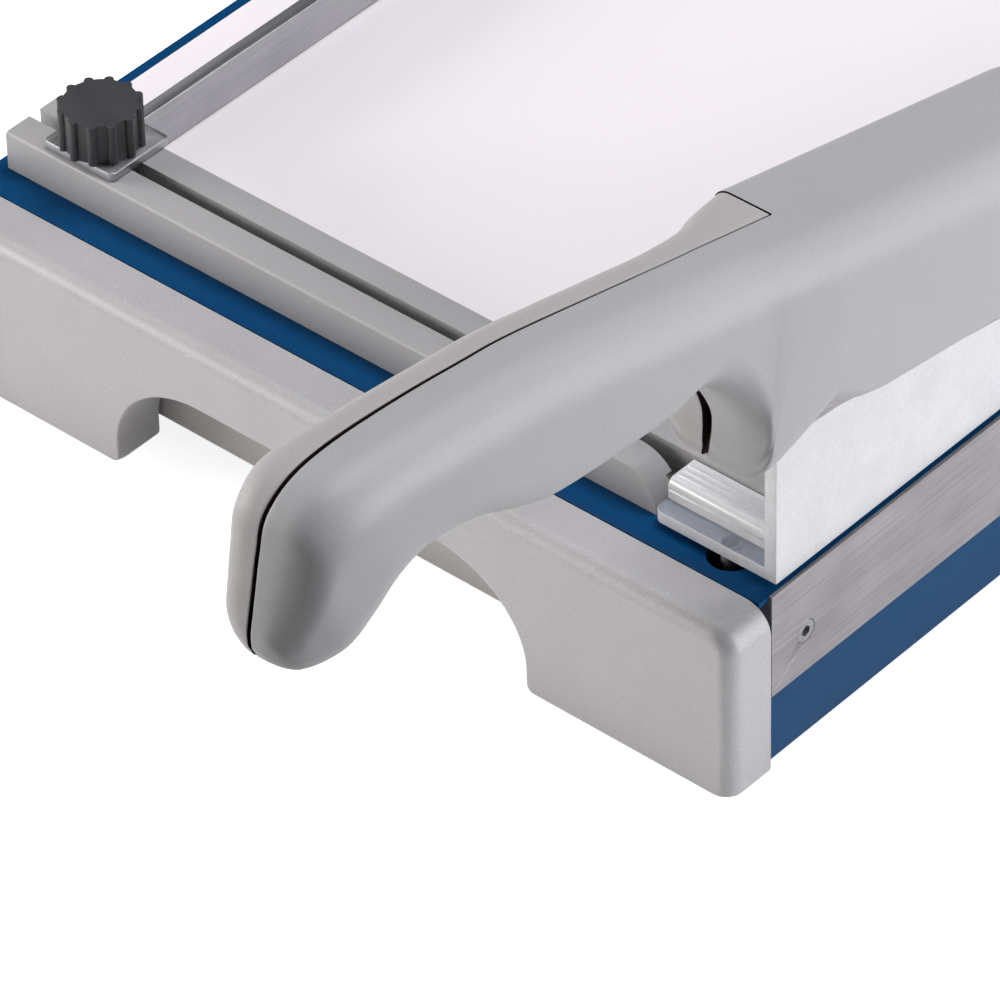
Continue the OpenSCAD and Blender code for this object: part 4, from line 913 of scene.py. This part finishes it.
def arm_ring(top_u, low_u, rb, hx, pocket=False, flat=False):
    """Ring of the arm: hx is the hood's left edge from the seam, pocket its hollow."""
    top = (top_u, HUB_R + ARM_SLOPE * top_u)
    low = (low_u, WEB_LOW if low_u >= HUB_LONG else HUB_LOW + HUB_CLIMB * low_u)
    h = (Vector(top) - Vector(low)).length
    left, start = hood_side(h, hx)
    roof = h - ROOF if pocket else 0
    hollow = [(HOLLOW_X1, 0), (HOLLOW_X1, roof), (HOLLOW_X0, roof), (HOLLOW_X0, 0)]
    if rb > 3:
        hollow = None
    line = outer_side(ARM_WIDE + 0.3 * part_way(top_u, 385, 15), h, ARM_ROUND, rb,
                      0 if flat else start, 0, hollow=hollow)
    line = line[:-3] + [(WEB_X, 0)] * 3
    line += [(0, t) for _, t in left] if flat else left
    return on_section(line, top, low, PARTING_X, 1)


rings.append(arm_ring(399.8, 392.07, 9.9, HOOD_X, flat=True))
rings.append(arm_ring(399.8, 392.07, 9.9, HOOD_X))
for top_u, low_u, rb in ((395.5, 389.5, 8.0), (390, 386, 5.5), (384.5, 382, 3.2),
                         (379, 377.5, 2.0), (373.2, 373.2, 1.5)):
    rings.append(arm_ring(top_u, low_u, rb, HOOD_X))
for u in (372.6, 334.0, 296.4, 258.0, 220.0, 182.0, 144.2, 120.0, 84.0, 48.1):
    hood_x = HOOD_X + 19.15 * part_way(u, 296.4, -152.2)
    rings.append(arm_ring(u, u, 1.5, hood_x, pocket=True))
for top_u, low_u in ((47.5, 47.5), (HUB_LONG, HUB_LONG), (20, 28), (0.6, 14)):
    rings.append(arm_ring(top_u, low_u, 1.5, 1.65))
# The grip's parting faces take the painted seam shade.
casting = lofted("lever_casting", rings, (grey, seam_shade_paint),
                 lambda j, i: i >= N_OUT - 1 and j <= GRIP_RINGS)
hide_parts("blade_arm", "grip_half")
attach(casting, "lever")
pivot_boss = about_pivot("pivot_boss", [(18.0, 2.65), (18.5, 3.15), (18.5, 21.0),
                                        (18.0, 21.5), (8.06, 21.5), (8.06, 2.65)],
                         grey, 96)
b = bmesh.new()
b.from_mesh(pivot_boss.data)
caps = [f for f in b.faces if len(f.verts) > 4]
rims = [sorted(f.verts, key=lambda v: v.index) for f in caps]
bmesh.ops.delete(b, geom=caps, context="FACES_ONLY")
skin_over(b, rims)
bmesh.ops.recalc_face_normals(b, faces=b.faces)
b.to_mesh(pivot_boss.data)
b.free()
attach(pivot_boss, "lever")
KNIFE_FIRST, KNIFE_LAST, KNIFE_W = 38.2, 355.26, 9
KNIFE_US = [KNIFE_FIRST + (KNIFE_LAST - KNIFE_FIRST) * i / 4 for i in range(5)]
POST_X, POST_R, POST_HALF = 12.07, 5.5, 5.3
post = mesh_of("web_post", turned([(POST_R, -POST_HALF), (POST_R, POST_HALF)], 40),
               [grey])
web_posts = set_along("web_posts", [lever(POST_X, u, KNIFE_W) for u in KNIFE_US],
                      TO_RIGHT, post, grey, 0)
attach(web_posts, "lever")

# Cover: the grip's left half, a moulded shell in nearly the same grey. Three
# screws in round counterbores hold it to the casting over steel sleeves.
SEAM_SHARES = (0.1, 0.2, 0.35, 0.5, 0.7, 0.85)
rings = []
for s in eased(STATIONS, 6):
    tu, tw, lu, lw, wr, wl, rt, rb, lt, lb, flare, gap = s
    h = (Vector((tu, tw)) - Vector((lu, lw))).length
    seam = min(0.3, h * 0.05)
    open_by = 0.35 + 0.75 * part_way(tu, 440, 110)
    gap = max(gap, 0) * COVER_GAP
    line = outer_side(wl - open_by, h, lt, lb, 0, seam, flare, gap)
    line += [(gap * (1 - c) ** 2, max(c * h, seam)) for c in SEAM_SHARES]
    rings.append(on_section(line, (tu, tw), (lu, lw), PARTING_X - open_by, -1))
N_COVER = len(line) - len(SEAM_SHARES)
# The cover's parting faces take the painted seam shade.
cover = lofted("grip_cover", rings, (grey_cover, seam_shade_paint),
               lambda j, i: i >= N_COVER - 1)
SCREW_UW = ((526.6, 40.95), (472.88, 37.44), (412.84, 36.27))
COVER_SCREW_X, HOLE_R, SINK_R, SINK_DEEP = -10, 1.55, 2.85, 1.6
drill = []
for u, w in SCREW_UW:
    b = turned([(HOLE_R, -40), (HOLE_R, -SINK_DEEP), (SINK_R, -SINK_DEEP), (SINK_R, 14)],
               32)
    bmesh.ops.transform(b, matrix=Matrix.Translation(lever(COVER_SCREW_X, u, w))
                        @ Matrix.Rotation(-math.pi / 2, 4, "Y"), verts=b.verts)
    drill.append(placed("drill", mesh_of("drill", b)))
for o in drill:
    cut = cover.modifiers.new("hole", "BOOLEAN")
    cut.object = o
    cut.solver = "EXACT"
bpy.context.view_layer.update()
bored = bpy.data.meshes.new_from_object(
    cover.evaluated_get(bpy.context.evaluated_depsgraph_get()))
cover.modifiers.clear()
cover.data = bored
for o in drill:
    bpy.data.objects.remove(o)
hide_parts("handle_cover")
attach(cover, "lever")
cover_screw = screw_mesh("cover_screw", 2.8, 1.6, 1.5, 28.8, False, dark_steel)
stands_for(set_along("cover_screw_row",
                     [lever(COVER_SCREW_X, u, w) for u, w in SCREW_UW],
                     TO_LEFT, cover_screw, dark_steel), "cover_screws")
dressed("grip_spacers", bright_steel, 0.2)
dressed("lever_buffer", rubber, 0.4)

# Moving blade: curved ground steel on the casting's web, with five countersunk
# screws from the blade's side.
dressed("moving_blade", ground, 0, angle=20)
knife_screw = screw_mesh("knife_screw", 3.3, 1.8, 2.0, 16.8, True, bright_steel)
stands_for(set_along("moving_blade_screw_row", [lever(0.17, u, KNIFE_W) for u in KNIFE_US],
                     TO_LEFT, knife_screw, bright_steel), "moving_blade_screws")

# Guard: a clear acrylic moulding that presses the paper along the cut. Its foot
# has two steps with fine ribs along them, and its wall stands by the blade. Only
# the lower step's upward faces are clear; the wall, the other faces and the ribs
# take a paler, less clear copy, which is painted light: the whitish look that
# light gives the clear acrylic.
clear = bpy.data.materials.new("clear_acrylic")
clear.use_nodes = True
ct = clear.node_tree
cs = ct.nodes["Principled BSDF"]
cs.inputs["IOR"].default_value = 1.49
cs.inputs["Transmission Weight"].default_value = 0.75
c_group = ct.nodes.new("ShaderNodeGroup")
c_group.node_tree = grain
c_group.inputs["Size"].default_value = 700
c_group.inputs["Cloud Size"].default_value = 90
c_group.inputs["Cloud Share"].default_value = 0.5
c_ramp = ct.nodes.new("ShaderNodeValToRGB")
c_ramp.color_ramp.elements[0].position = 0.3
c_ramp.color_ramp.elements[1].position = 0.7
c_ramp.color_ramp.elements[0].color = (0.66, 0.74, 0.88, 1)
c_ramp.color_ramp.elements[1].color = (0.84, 0.90, 1.0, 1)
c_rough = ct.nodes.new("ShaderNodeMapRange")
c_rough.inputs["To Min"].default_value = 0.14
c_rough.inputs["To Max"].default_value = 0.30
wire(ct,
     (c_group, "Mottle", c_ramp, "Fac"),
     (c_ramp, "Color", cs, "Base Color"),
     (c_group, "Cloud", c_rough, "Value"),
     (c_rough, 0, cs, "Roughness"))
# Painted light: a paler, less clear copy of the acrylic, for the whitish look light gives the guard's
# walls.
painted_light_acrylic = clear.copy()
painted_light_acrylic.name = "milky_acrylic"
m_shader = painted_light_acrylic.node_tree.nodes["Principled BSDF"]
m_shader.inputs["Transmission Weight"].default_value = 0.25
m_ramp = m_shader.inputs["Base Color"].links[0].from_node.color_ramp
m_ramp.elements[0].color = (0.74, 0.74, 0.77, 1)
m_ramp.elements[1].color = (0.86, 0.86, 0.88, 1)
LOWER_TIER, RIB_LEFT, RIB_R = 9.0, -39.0, 0.45
RIB_YZ = ((12.3, 7.4), (15.2, 10.45), (17.2, 10.45), (19.2, 10.45))
guard = dressed("clamp_guard", painted_light_acrylic, 0.45, segments=3)
guard.data.materials.append(clear)
# Only the lower step's upward faces take the clear acrylic; the rest keep the painted pale copy.
for face in guard.data.polygons:
    if face.normal.z > 0.9 and face.center.z < at(0, 0, LOWER_TIER).z:
        face.material_index = 1
b = bmesh.new()
rib_rows = []
for x, r in ((0.0, 0.25), (0.3, RIB_R), (33.7, RIB_R), (34.0, 0.25)):
    rib_rows.append([b.verts.new((x / 1000, r * math.cos(math.pi * k / 6) / 1000,
                                  r * math.sin(math.pi * k / 6) / 1000))
                     for k in range(12)])
skin_over(b, rib_rows)
b.faces.new(list(reversed(rib_rows[0])))
b.faces.new(rib_rows[-1])
bmesh.ops.recalc_face_normals(b, faces=b.faces)
rib = mesh_of("guard_rib", b, [painted_light_acrylic])
rib.polygons.foreach_set("use_smooth", [True] * len(rib.polygons))
ribs = set_along("guard_ribs", [at(RIB_LEFT, y, z) for y, z in RIB_YZ], TO_TOP, rib,
                 painted_light_acrylic, 0)
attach(ribs, "guard")

# Posts: steel pins under the guard's ends, each in a dark moulded cup with a
# coil spring round it and a clip below.
dressed("guard_posts", bright_steel, 0.3)
cup = finish("dark_cup_moulding", (0.030, 0.028, 0.034), (0.045, 0.043, 0.05), 0.5,
             2000, 50, bump=0.3)
dressed("guard_bushes", cup, 0.2)
dressed("guard_springs", bright_steel, 0.0, angle=60)
dressed("guard_clips", dark_steel, 0.15)

# Backstop: an anodised bar that slides along the front fence on a nut in its
# slot, and is clamped by a ribbed knob.
anodised = brushed("anodised_bar", (0.36, 0.36, 0.38), (0.50, 0.50, 0.52), 0.42)
dressed("backstop_bar", anodised, 0.4, segments=3)
dressed("backstop_slider", bright_steel, 0.3)
dressed("knob_screw", bright_steel, 0.2)
knob_grey = finish("knob_moulding", (0.035, 0.036, 0.04), (0.05, 0.052, 0.056), 0.5,
                   2200, 60, bump=0.4, height=0.00006)
dressed("backstop_knob", knob_grey, 0.9, segments=4)

low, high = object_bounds()
